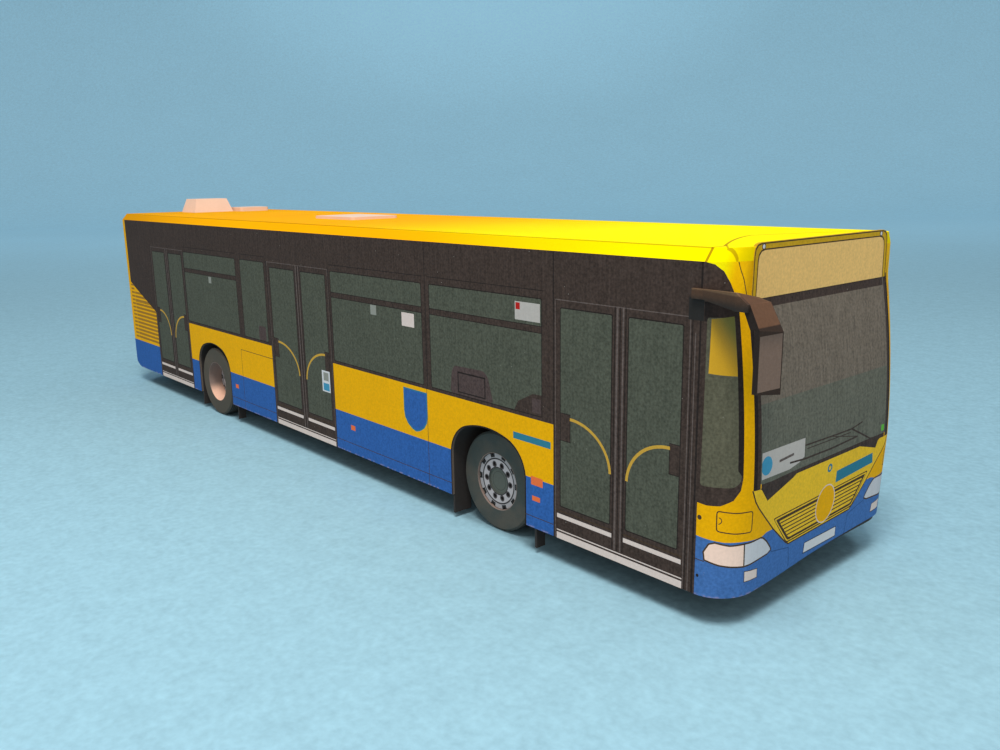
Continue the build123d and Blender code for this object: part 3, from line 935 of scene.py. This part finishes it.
def lay_headlamp(layout, side):
    """Two-part headlamp, fog lamp, flap and dots of one corner."""
    outer = [(10.71, 6.83), (11.9, 6.78), (13.05, 6.98), (13.5, 6.82), (13.91, 6.13), (13.8, 5.5),
             (12.6, 5.2), (11.69, 5.08), (10.57, 4.98)]
    inner = [(10.57, 4.98), (9.0, 5.1), (7.75, 5.19), (7.28, 5.4), (7.4, 5.65), (7.98, 6.3),
             (8.55, 6.75), (8.9, 6.87), (10.71, 6.83)]
    flap = [(13.02, 9.48), (11.6, 9.34), (10.21, 9.35), (10.15, 7.69), (11.6, 7.72), (12.97, 7.91)]
    fog = [(10.48, 4.56), (8.95, 4.39), (8.88, 3.63), (10.42, 3.69)]
    layout.lay(
        ("lamp_warm", outer),
        ("lamp_cool", inner),
        ("line", outer + inner[1:-1], 0.13, True),
        ("line", [inner[0], inner[-1]], 0.11),
        ("line", softened(flap, 0.22), 0.09, True),
        ("line", arc(12.97, 8.72, 0.34, 0.28, 110, 250, 6), 0.07),
        side=side,
    )
    layout.disc("line", side * 14.35, 8.75, 0.19)
    layout.disc("seal", side * 14.34, 4.13, 0.13)
    layout.lay(
        ("pale", fog),
        ("line", fog, 0.06, True),
        ("line", [(14.6, 5.43), (13.8, 5.38)], 0.07),
        ("navy", [(7.3, 5.38), (7.14, 5.2), (4.73, 4.76), (4.66, 4.74), (4.37, 3.0)], 0.08),
        side=side,
    )


def front_layout():
    """Wrapped panel below the windscreen with lamps, grille and blank plate."""
    end, top = CORNER_END, BELT_Z + 0.5
    lower = [(-end + 2 * end * i / 60, SKIRT_Z) for i in range(61)]
    layout = Layout(lower + [(end, BELT_Z), (-end, BELT_Z)], "front_blue")
    crest = [(end, 7.28), (13.52, 7.17), (12.35, 7.04), (10.79, 7.02), (8.79, 6.9), (8.1, 7.1)]
    layout.area("yellow", [(-s, z) for s, z in crest] + crest[::-1] + [(end, top), (-end, top)])
    for side in (-1, 1):
        pillar_band(layout, side)
    flank = [(10.42, 10.95), (10.01, 10.01), (9.6, 9.45), (8.44, 8.28), (7.25, 7.1), (5.28, 5.42),
             (4.75, 5.1)]
    panel = [(-s, z) for s, z in flank] + flank[::-1]
    layout.lay(
        ("front_yellow", panel),
        ("dark", [(-10.30, top), (-10.28, 10.91), (-9.57, 10.90), (-9.36, 10.75), (-8.49, 9.72),
                  (-5.09, 10.74), (-4.7, 10.92), (-4.7, top)]),
        ("dark", [(5.3, top), (5.3, 10.93), (6.0, 10.72), (8.19, 10.0), (8.49, 10.75), (8.75, 10.93),
                  (9.6, 10.93), (9.6, top)]),
        ("line", panel, 0.12),
        ("line", [panel[6], panel[7]], 0.12),
    )
    lay_grille(layout)
    layout.disc("sash", 0.53, 10.08, 0.37, 0.40)
    layout.disc("front_yellow", 0.53, 10.08, 0.17, 0.20)
    layout.area("sash", [(1.75, 8.36), (8.02, 8.50), (7.80, 9.55), (1.75, 9.44)])
    for side in (-1, 1):
        lay_headlamp(layout, side)
    layout.area("seal", [(-2.30, 3.38), (2.86, 3.26), (2.80, 4.20), (-2.24, 4.36)])
    layout.area("white", [(-2.22, 3.46), (2.79, 3.33), (2.74, 4.13), (-2.16, 4.29)])
    layout.areas = [(name, [lifted(s, z) for s, z in points]) for name, points in layout.areas]
    bend_corners(layout, SKIRT_Z, BELT_Z)
    return layout


def lay_grille(layout):
    """Louvred trapezoid with a plain disc over its middle."""
    for name, top_half, low_half, top_z, low_z in (
        ("line", 7.36, 5.10, 7.96, 5.26), ("front_yellow", 7.22, 5.05, 7.86, 5.38),
        ("line", 6.98, 4.98, 7.74, 5.46), ("front_yellow", 6.50, 4.84, 7.50, 5.66),
    ):
        corners = level(-low_half, low_half, low_z) + level(top_half, -top_half, top_z)
        layout.area(name, softened(corners, 0.22))
    for i in range(5):
        z = 5.96 + i * 0.33
        half = 4.84 + (z - 5.66) * 0.90
        layout.line("line", level(-half, half, z), 0.11)
    layout.disc("pale", 0.45, 6.92, 1.50, 1.66, 28)
    layout.disc("yellow", 0.45, 6.92, 1.40, 1.56, 28)


def sign_layout():
    """Blank front sign: cream field, two dark lines and a gold border."""
    half, low, high = SIGN_HIGH.y - 0.02, SIGN_LOW.z, ROOF_Z + SIGN_RISE

    def field(inset):
        side = half - inset
        corners = level(-side, side, low - 1) + level(side - 0.14, -side + 0.14, high - inset)
        return softened(corners, 0.8)
    layout = Layout(level(-half, half, low) + [p for p in field(0.0) if p[1] > low + 1.2], "rim_gold")
    for inset, name in ((0.04, "line"), (0.13, "rim_gold"), (0.46, "line"), (0.56, "cream")):
        layout.area(name, field(inset))
    for side in (-1, 1):
        layout.disc("line", side * (half - 1.28), high - 0.30, 0.25)
        layout.disc("white", side * (half - 1.28), high - 0.30, 0.16)
    return layout


def rear_layout():
    """Flat part of the rear wall: window, lid, blank plate and lamps."""
    half, low = SIDE_Y - REAR_CORNER - 0.1, SKIRT_Z + REAR_ROLL
    layout = Layout(rounded(-half, half, low, FOLD_Z - 0.1), "yellow")
    layout.lay(
        ("blue", -half, half, low, sizes().stripe_height),
        ("seal", -10.6, 10.6, 17.3, 26.2, 0.8),
        ("glass", -10.4, 10.4, 17.5, 26.0, 0.7),
        ("dark", -6.6, 6.6, 23.6, 25.6, 0.3),
        ("line", rounded(-9.6, 9.6, 7.6, 16.4, 0.4), 0.1, True),
        *(("line", level(-6.5, 6.5, 8.6 + i * 0.5), 0.12) for i in range(8)),
        ("seal", -2.6, 2.6, 13.5, 14.6),
        ("white", -2.5, 2.5, 13.6, 14.5),
    )
    for side in (-1, 1):
        for z, name in ((8.3, "red"), (10.1, "orange"), (11.9, "white"), (13.7, "red")):
            layout.disc("seal", side * 10.45, z, 0.72)
            layout.disc(name, side * 10.45, z, 0.60)
        layout.box("red", side * 10.9, side * 9.9, 26.5, 26.95)
    return layout


# ---- Finishes ----
def cap_yellow():
    """Yellow of the corner, turning paler towards the roof as a painted highlight, and deeper orange
    beside the sign as painted shade.
    """
    finish = Finish("print_cap", (255, 206, 0))
    _, y, z = finish.axes()
    # Painted highlight: paler yellow higher up, where the corner turns towards the light.
    finish.over(z.step(CAP_PALE + 0.2, FOLD_Z - 0.2), (255, 238, 0))
    lean = abs(y) + (z - CAP_PALE) * 0.16
    # Painted shade on the fold beside the sign: orange, then brown-orange nearest the sign.
    finish.over((12.9 - lean).step(0.0, 1.2), (255, 192, 2))
    finish.over((11.3 - lean).step(0.0, 0.9) * 0.6, (190, 134, 6))
    return finish.coat(finish.noise(*PRINT_GRAIN), 0.3)


def quarter_glow():
    """Yellow light in the quarter window, turning green towards its upper front corner."""
    finish = Finish("print_glow", (206, 156, 42))
    x, _, z = finish.axes()
    finish.over(((z - 20.9) / 3.0 + (x - station(57.5)) / 1.5).step(0.0, 1.25), (90, 90, 50))
    return finish.coat(finish.noise(*WRAP_GRAIN), 0.16)


def roof_finish():
    """Yellow card, paler at the front and on top and deeper towards the rear as painted light, with its
    fold lines and the cap's curved seam.
    """
    finish = Finish("print_roof", "roof_rear")
    x, y, z = finish.axes()
    fine = finish.noise(*PRINT_GRAIN)
    cloud = finish.noise(0.10)
    # Painted light: the top counts as 16 mm further forward than the folded edge, so it is paler, and the
    # yellow pales from rear to front.
    ahead = x + (z > ROOF_Z - 0.1) * 16
    finish.over(ahead.step(REAR_X - 6, REAR_X + 42), "roof")
    finish.over(ahead.step(SEAM_X - 40, FRONT_X), "roof_front")
    # Painted shade: slightly deeper yellow next to the sign.
    finish.over(x.step(SIGN_LOW.x - 0.9, SIGN_LOW.x - 0.2) * 0.3, "roof")
    finish.brighten(1.0 + (fine - 0.5) * 0.10 + (cloud - 0.5) * 0.10)
    flank = abs(y)

    def segment(start, end):
        length = math.dist(start, end)
        dx, dy = (end[0] - start[0]) / length, (end[1] - start[1]) / length
        u, v = x - (SEAM_X + start[0]), flank - start[1]
        along = u * dx + v * dy
        return (u * dy - v * dx).within(0.10) * (along > -0.03) * (along < length + 0.03)
    fold = (flank - (SIDE_Y - COVE_RUN)).within(0.09) * (x < SEAM_X)
    shoulder = SIDE_Y - CAP_SHOULDER
    bow = (flank / shoulder) ** 1.3
    curve = (x - (SEAM_X - CAP_SAGITTA) - bow * CAP_SAGITTA).within(0.14) * (flank < shoulder)
    straight = (x - SEAM_X).within(0.13) * (flank > shoulder)
    below = z < ROOF_Z - 0.02
    worn = segment(*CAP_FOLD[:2]) * (1.0 - below) + segment(*CAP_FOLD[1:]) * below
    marks = fold * 0.6 + curve * 0.8 + straight * 0.8 + worn * 0.6
    finish.over(marks.at_most(1.0), (150, 100, 10))
    return finish.coat(fine, roughness=0.70, gloss=ROOF_GLOSS)


def rear_wrap_finish():
    """Rear wall and corners: yellow over blue, with the sides' dark band ending on them."""
    finish = Finish("print_rear_wrap", "yellow")
    x, y, z = finish.axes()
    finish.over(z < sizes().stripe_height, "blue")
    side = x > REAR_X + 1.9
    slant = z + (x - station(TAIL_START)) * TAIL_SLOPE
    beat = abs(0.5 - ((z - LOUVRE_LOW) / LOUVRE_PITCH).fraction())
    louvres = beat.step(0.22, 0.30) * (z > sizes().stripe_height + 0.3)
    finish.over(side * louvres, "louvre")
    finish.over(side * (slant > TAIL_HEIGHT), "dark")
    aside = (abs(y) - (SIDE_Y - REAR_CORNER)).at_least(0.0)
    behind = (REAR_X + REAR_CORNER - x).at_least(0.0)
    below = (SKIRT_Z + REAR_ROLL - z).at_least(0.0)
    back = (REAR_X + REAR_ROLL - x).at_least(0.0)
    rounded_in = distance(aside, behind) < REAR_CORNER - CARD / 2
    rolled_in = distance(below, back) < REAR_ROLL - CARD / 2
    finish.over(rounded_in * rolled_in * (z > SKIRT_Z + 0.02), CARD_WHITE)
    return finish.coat(finish.noise(*WRAP_GRAIN), 0.16)


def wheel_finish(node):
    """Rim print: pale rings with notches, a dark circle, bolt holes and a dark hub."""
    low, high = box_mm(node)
    radius = (high.x - low.x) / 2
    finish = Finish("print_" + node, (176, 170, 172))
    x, y, z = finish.axes()
    dx, dz = x - (low.x + high.x) / 2, z - (low.z + high.z) / 2
    away = distance(dx, dz)
    turn = dz.arctan2(dx) * (BOLT_COUNT / math.tau)
    beat = abs(0.5 - (turn + 0.5).fraction())
    bolt = distance(away - BOLT_CIRCLE, beat * away * (math.tau / BOLT_COUNT))
    hub = finish.blend((away - 0.92).within(0.05), (88, 92, 86), (66, 68, 64))
    for mask, colour in (
        (away.step(2.2, 2.3), (158, 154, 156)),
        ((away - 2.22).within(0.10), (58, 56, 56)),
        ((beat < 0.19) * (away > radius - 0.44), (42, 42, 42)),
        ((0.34 - bolt).step(0.0, 0.05), (78, 74, 74)),
        ((0.21 - bolt).step(0.0, 0.04), (36, 34, 34)),
        ((away - 1.36).within(0.08), (50, 48, 48)),
        (away > radius - 0.06, (60, 60, 58)),
        (away < HUB_RADIUS, hub),
        (abs(y) < max(abs(low.y), abs(high.y)) - 0.3, (70, 64, 60)),
    ):
        finish.over(mask, colour)
    relief = finish.noise(12.0, 3.0), 0.35, 0.02
    return finish.coat(finish.noise(8.0, 3.0), 0.24, 0.6, 0.2, relief=relief)


def tyre_finish(end, side, bare_edge):
    """Dark laminated card with faint plies; a deep rear ring shows bare card in its hole, pale low down
    as painted light and darker above as painted shade.
    """
    low, high = box_mm(f"tyre_{end}_{side}")
    rim_low, rim_high = box_mm(f"rim_{end}_{side}")
    centre_z = (low.z + high.z) / 2
    finish = Finish(f"tyre_card_{end}_{side}")
    x, y, z = finish.axes()
    away = distance(x - (low.x + high.x) / 2, z - centre_z)
    fine = finish.noise(7.0, 3.0)
    cloud = finish.noise(0.35).step(0.35, 0.7)
    wall = finish.blend(0.45 * bare_edge, finish.blend(cloud, (66, 72, 70), (82, 80, 74)), (98, 84, 70))
    tread = finish.blend((y * 3.2).fraction().step(0.35, 0.65), (60, 60, 58), (84, 80, 76))
    # Painted light in the hole: bare card pale low down, darker higher up as painted shade.
    lower = (centre_z - 0.6 - z).step(0.0, 1.4) * bare_edge
    hole = finish.blend(lower, (138, 120, 112), (236, 190, 166))
    finish.base = finish.blend(away > (high.x - low.x) / 2 - 0.03, wall, tread)
    finish.over(away < (rim_high.x - rim_low.x) / 2 + 0.04, hole)
    return finish.coat(fine, 0.24, 0.7, 0.2, relief=(fine, 0.4, 0.03))


def axle_wood():
    """Plain round stick with grain along it."""
    finish = Finish("axle_stick", (206, 170, 124))
    grain = finish.noise(1.0, 4.0, finish.stretched(4.0, 0.35, 4.0))
    finish.over(grain.step(0.3, 0.7), (164, 124, 80))
    return finish.coat(grain, 0.0, 0.6, 0.2, STICK_GLOSS, (grain, 0.4, 0.03))


def arm_finish(node):
    """Brown print, paler along the upper edge as a painted highlight and darker below as painted shade.
    """
    low, high = box_mm(node)
    finish = Finish("print_" + node, (50, 45, 42))
    z = finish.axes()[2]
    fine = finish.noise(*PRINT_GRAIN)
    # Painted shade towards the bottom, then a painted highlight along the upper edge.
    finish.over((z - low.z).step(0.1, 0.9), (80, 60, 48))
    finish.over((z - (high.z - 0.24)).step(0.0, 0.14), (108, 84, 64))
    return finish.coat(fine, 0.4, 0.6, relief=(fine, 0.4, 0.02))


def mirror_finish(node, hood):
    """Brown hood over a greyer plate with a dark border; the dark band just under the hood is partly
    border and partly the hood's painted shadow.
    """
    low, high = box_mm(node)
    joint = high.z - hood
    finish = Finish("print_" + node, (56, 44, 38))
    x, y, z = finish.axes()
    fine = finish.noise(*PRINT_GRAIN)
    cover = finish.blend((z - high.z + 0.28).step(0.0, 0.12), (101, 73, 56), (92, 67, 52))
    # The plate stops 0.45 mm below the hood: the dark band left there is partly border and partly the
    # hood's painted shadow.
    inside = (y > low.y + 0.10) * (y < high.y - 0.10) * (z > low.z + 0.08) * (z < joint - 0.45)
    grey = finish.blend((z - low.z - 2.6).step(0.0, 1.8), (122, 100, 88), (99, 84, 76))
    finish.over(inside * (x > high.x - 0.32), grey)
    finish.over((z - joint).step(0.05, 0.15), cover)
    finish.over((y < low.y + 0.02).at_least(y > high.y - 0.02), (44, 37, 34))
    return finish.coat(fine, 0.4, 0.6, relief=(fine, 0.4, 0.02))


def paint(material, *nodes):
    """Gives CAD nodes their finish."""
    for node in nodes:
        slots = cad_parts[node].data.materials
        if not slots:
            slots.append(material)
        for i in range(len(slots)):
            slots[i] = material


# ---- Right mirror ----
def build_right_mirror():
    """Arm that grows taller towards the hood, and a hood whose top falls forwards and inwards."""
    arm_low, arm_high = box_mm("mirror_arm_right")
    low, high = box_mm("mirror_head_right")
    crest, outer = arm_high.z + 0.05, arm_low.y
    root_y, root_z = -SIDE_Y - CARD, arm_high.z - 0.10

    def ring(x, y, bottom, top):
        return [(x, y, bottom), (x, y + CARD, bottom), (x, y + CARD, top), (x, y, top)]
    card_loft("mirror_arm_print", "mirror_arm_right", arm_finish("mirror_arm_right"), (
        ring(arm_low.x, root_y, root_z - ARM_HEIGHT, root_z),
        ring(SEAM_X, root_y, root_z - ARM_HEIGHT, root_z),
        ring(low.x, outer, crest - ARM_TIP_HEIGHT, crest),
        ring(arm_high.x, outer, crest - ARM_TIP_HEIGHT, high.z - 0.2),
    ))
    joint = high.z - HOOD_HEIGHT

    def profile(y, back_z, fold_z, ahead, drop):
        front = high.x + ahead
        return [(x, y, z) for x, z in (
            (low.x, back_z), (arm_high.x, fold_z), (front, joint - drop), (front, low.z - drop),
            (front - 0.35, low.z - drop), (front - 0.35, joint - drop), (front - 0.70, joint - drop))]
    card_loft("mirror_head_print", "mirror_head_right", mirror_finish("mirror_head_right", HOOD_HEIGHT), (
        profile(low.y, crest, high.z - 0.2, -0.25, 0.05),
        profile(high.y, high.z - 0.05, high.z - 0.3, 0.0, 0.4),
    ))


def card_loft(name, node, material, rings):
    """Closed solid through outlines of equal count; it stands for a CAD node."""
    count, last = len(rings[0]), (len(rings) - 1) * len(rings[0])
    faces = [tuple(range(count))[::-1], tuple(range(last, last + count))]
    for start in range(0, last, count):
        for i in range(count):
            k = (i + 1) % count
            faces.append((start + i, start + k, start + count + k, start + count + i))
    mesh = bpy.data.meshes.new(name)
    mesh.from_pydata([tuple(Vector(p) * MM) for ring in rings for p in ring], [], faces)
    mesh.materials.append(material)
    mesh.update()
    add_piece(name, mesh, node)


# ---- Stage ----
def sweep_mesh(heading, across):
    """Sheet that runs level under the model and curves up behind it, in metres."""
    near, start, bend, top, half_width = -1.2, 0.55, 0.45, 1.8, 2.2
    profile = [(near, 0.0), (start, 0.0)]
    for degrees in range(6, 91, 6):
        angle = math.radians(degrees)
        profile.append((start + bend * math.sin(angle), bend - bend * math.cos(angle)))
    profile.append((start + bend, top))
    verts = [tuple(heading * along + across * side + Vector((0, 0, up)))
             for along, up in profile for side in (-half_width, half_width)]
    faces = [(2 * i + 1, 2 * i, 2 * i + 2, 2 * i + 3) for i in range(len(profile) - 1)]
    mesh = bpy.data.meshes.new("paper_floor")
    mesh.from_pydata(verts, [], faces)
    mesh.polygons.foreach_set("use_smooth", [True] * len(faces))
    return mesh


def build_floor_sweep(settings):
    """Pale paper with painted light: pools of painted light round the model, a painted shadow under it,
    and paler far off.
    """
    heading = Vector((math.cos(settings.camera_yaw), math.sin(settings.camera_yaw), 0))
    across = Vector((-heading.y, heading.x, 0))
    finish = Finish("floor_paper")
    x, y, z = finish.axes()
    fibre = finish.noise(1.5, 5.0)
    felt = finish.noise(0.42, 3.0)
    cloud = finish.noise(0.02)
    # Painted light: the paper turns to the paler backdrop colour far off.
    far = (x * heading.x + y * heading.y + z).step(80.0, 460.0)
    # Painted pool of light on the backdrop behind the model.
    aside = (x * across.x + y * across.y) / 420.0
    rise = (z - 330.0) / 260.0
    pool = (1.0 - aside * aside - rise * rise).step(0.0, 1.0)
    # Painted pool of light on the floor by the right front of the model.
    lit = (1.0 - ((x - 40) * (x - 40) + (y + 70) * (y + 70)) / 12000).at_least(0.0)
    # Painted shadow: darker paper under the body.
    over = (abs(x - SHADOW_MIDDLE) - SHADOW_LENGTH).at_least(0.0)
    out = (abs(y) - SHADOW_WIDTH).at_least(0.0)
    under = (4.6 - distance(over, out)).step(0.0, 1.2)
    finish.base = finish.blend(far, settings.floor, settings.backdrop)
    finish.brighten(
        1.0 + (fibre - 0.5) * 0.40 + (felt - 0.5) * 0.24 + (cloud - 0.5) * 0.05
        + pool * 0.22 + lit * 0.14 - under * 0.45)
    mesh = sweep_mesh(heading, across)
    mesh.materials.append(finish.coat(fibre, 0.0, 0.85, 0.0, relief=(fibre, 0.3, 0.05)))
    add_object("paper_floor", mesh)


def add_lamp(name, power, size, place, target, tint):
    """Square soft lamp of a power and size, aimed from its place at a point."""
    data = bpy.data.lights.new(name, "AREA")
    data.energy = power
    data.size = size
    data.color = srgb(*tint)
    lamp = add_object(name, data)
    lamp.location = place
    lamp.rotation_euler = (Vector(target) - Vector(place)).to_track_quat("-Z", "Y").to_euler()


def add_camera(context, settings):
    """Camera from its place, heading, tilt and roll."""
    yaw, pitch, roll = settings.camera_yaw, settings.camera_pitch, settings.camera_roll
    forward = Vector((math.cos(pitch) * math.cos(yaw), math.cos(pitch) * math.sin(yaw), math.sin(pitch)))
    right = forward.cross(Vector((0, 0, 1))).normalized()
    up = right.cross(forward)
    turned_right = right * math.cos(roll) + up * math.sin(roll)
    turned_up = up * math.cos(roll) - right * math.sin(roll)
    data = bpy.data.cameras.new("camera")
    data.sensor_width = 36.0
    data.lens = settings.lens
    data.clip_start = 0.001
    camera = add_object("camera", data)
    turn = Matrix((turned_right, turned_up, -forward)).transposed()
    camera.matrix_world = Matrix.Translation(settings.camera_place) @ turn.to_4x4()
    context.scene.camera = camera


# ---- Operators ----
class PieceOperator:
    """Shared options of the operators that build the bus."""

    bl_options = {"REGISTER", "UNDO"}


class CARDBUS_OT_stage(PieceOperator, bpy.types.Operator):
    """Adds the floor, the lamps and the camera"""

    bl_idname = "card_bus.stage"
    bl_label = "Stage"

    def execute(self, context):
        settings = context.scene.card_bus_stage
        build_floor_sweep(settings)
        world = bpy.data.worlds.new("even_light")
        world.use_nodes = True
        background = world.node_tree.nodes["Background"]
        background.inputs["Color"].default_value = (*srgb(244, 244, 244), 1)
        background.inputs["Strength"].default_value = settings.sky
        context.scene.world = world
        key, fill = settings.key_power, settings.fill_power
        add_lamp("key", key, 0.10, (0.10, -0.10, 0.30), (0.01, 0.0, 0.0), (255, 252, 246))
        add_lamp("fill", fill, 0.40, (0.30, -0.36, 0.13), (0.02, 0.0, 0.015), (255, 238, 222))
        add_camera(context, settings)
        context.scene.view_settings.view_transform = "Standard"
        return {"FINISHED"}


class CARDBUS_OT_sides(PieceOperator, bpy.types.Operator):
    """Builds both printed side panels"""

    bl_idname = "card_bus.sides"
    bl_label = "Side panels"

    def execute(self, context):
        build_panel(
            "side_print_right", right_side_layout(), lambda x, z, depth: (x, -SIDE_Y + depth, z),
            "side_panel_right", edge="cut")
        build_panel(
            "side_print_left", left_side_layout(), lambda x, z, depth: (x, SIDE_Y - depth, z),
            "side_panel_left", outward=-1, edge="cut")
        return {"FINISHED"}


class CARDBUS_OT_front(PieceOperator, bpy.types.Operator):
    """Builds the windscreen, corner posts, lower front and sign"""

    bl_idname = "card_bus.front"
    bl_label = "Front"

    def execute(self, context):
        for name, layout, node, slot in (
            ("front_print", front_layout(), "front_lower_panel", "printed_front"),
            ("screen_print", screen_layout(), "windscreen_panel", "printed_screen"),
            ("post_print_right", post_layout(-1), "corner_post_right", "printed_corner"),
            ("post_print_left", post_layout(1), "corner_post_left", "printed_corner"),
        ):
            build_panel(name, layout, nose_place, node, curved=True)
        face = SIGN_LOW.x + 0.03
        build_panel(
            "sign_print", sign_layout(), lambda y, z, depth: (face - depth, y, z),
            "sign_board", edge="rim_gold")
        return {"FINISHED"}


class CARDBUS_OT_rear(PieceOperator, bpy.types.Operator):
    """Finishes the rear wall and lays its print"""

    bl_idname = "card_bus.rear"
    bl_label = "Rear"

    def execute(self, context):
        paint(rear_wrap_finish(), "rear_panel")
        build_panel(
            "rear_print", rear_layout(), lambda y, z, depth: (REAR_X - 0.03 + depth, -y, z),
            None, thickness=0.03)
        return {"FINISHED"}


class CARDBUS_OT_roof(PieceOperator, bpy.types.Operator):
    """Finishes the roof, its front cap and the fittings"""

    bl_idname = "card_bus.roof"
    bl_label = "Roof"

    def execute(self, context):
        paint(roof_finish(), "roof_panel", "front_roof_cap")
        pale = plain_card("pale_fitting", (226, 196, 178), 0.05)
        paint(pale, "roof_box", "roof_hatch_rear", "roof_hatch_front")
        return {"FINISHED"}


class CARDBUS_OT_wheels(PieceOperator, bpy.types.Operator):
    """Finishes the wheels, axles, arches and floor"""

    bl_idname = "card_bus.wheels"
    bl_label = "Running gear"

    def execute(self, context):
        wood = axle_wood()
        liner = plain_card("liner_card", (50, 45, 43), 0.24, 0.7)
        for end, bare_edge in (("front", 0.0), ("rear", 1.0)):
            paint(wood, f"axle_{end}")
            for side in ("right", "left"):
                paint(wheel_finish(f"rim_{end}_{side}"), f"rim_{end}_{side}")
                paint(tyre_finish(end, side, bare_edge), f"tyre_{end}_{side}")
                paint(liner, f"arch_liner_{end}_{side}", f"axle_cheek_{end}_{side}")
        paint(liner, "floor_panel")
        return {"FINISHED"}


class CARDBUS_OT_mirrors(PieceOperator, bpy.types.Operator):
    """Builds the folded card mirror on the right and finishes the left one"""

    bl_idname = "card_bus.mirrors"
    bl_label = "Mirrors"

    def execute(self, context):
        build_right_mirror()
        paint(arm_finish("mirror_arm_left"), "mirror_arm_left")
        paint(mirror_finish("mirror_head_left", 0.7), "mirror_head_left")
        return {"FINISHED"}


class CARDBUS_PT_panel(bpy.types.Panel):
    """Buttons that build the bus, and its settings"""

    bl_label = "Card Bus"
    bl_idname = "CARDBUS_PT_panel"
    bl_space_type = "VIEW_3D"
    bl_region_type = "UI"
    bl_category = "Card Bus"

    def draw(self, context):
        column = self.layout.column()
        for operator in OPERATORS:
            column.operator(operator.bl_idname)
        for group in GROUPS:
            settings = getattr(context.scene, group)
            for name in settings.__annotations__:
                column.prop(settings, name)


GROUPS = {"card_bus_inks": BusInks, "card_bus_sizes": BusSizes, "card_bus_stage": BusStage}
OPERATORS = (
    CARDBUS_OT_stage, CARDBUS_OT_sides, CARDBUS_OT_front, CARDBUS_OT_rear,
    CARDBUS_OT_roof, CARDBUS_OT_wheels, CARDBUS_OT_mirrors,
)


def register():
    for name, group in GROUPS.items():
        bpy.utils.register_class(group)
        setattr(bpy.types.Scene, name, PointerProperty(type=group))
    for item in (*OPERATORS, CARDBUS_PT_panel):
        bpy.utils.register_class(item)


def unregister():
    for item in reversed((*OPERATORS, CARDBUS_PT_panel)):
        bpy.utils.unregister_class(item)
    for name, group in GROUPS.items():
        delattr(bpy.types.Scene, name)
        bpy.utils.unregister_class(group)


def main():
    register()
    for operator in OPERATORS:
        group, name = operator.bl_idname.split(".")
        getattr(getattr(bpy.ops, group), name)()


if __name__ == "__main__":
    main()
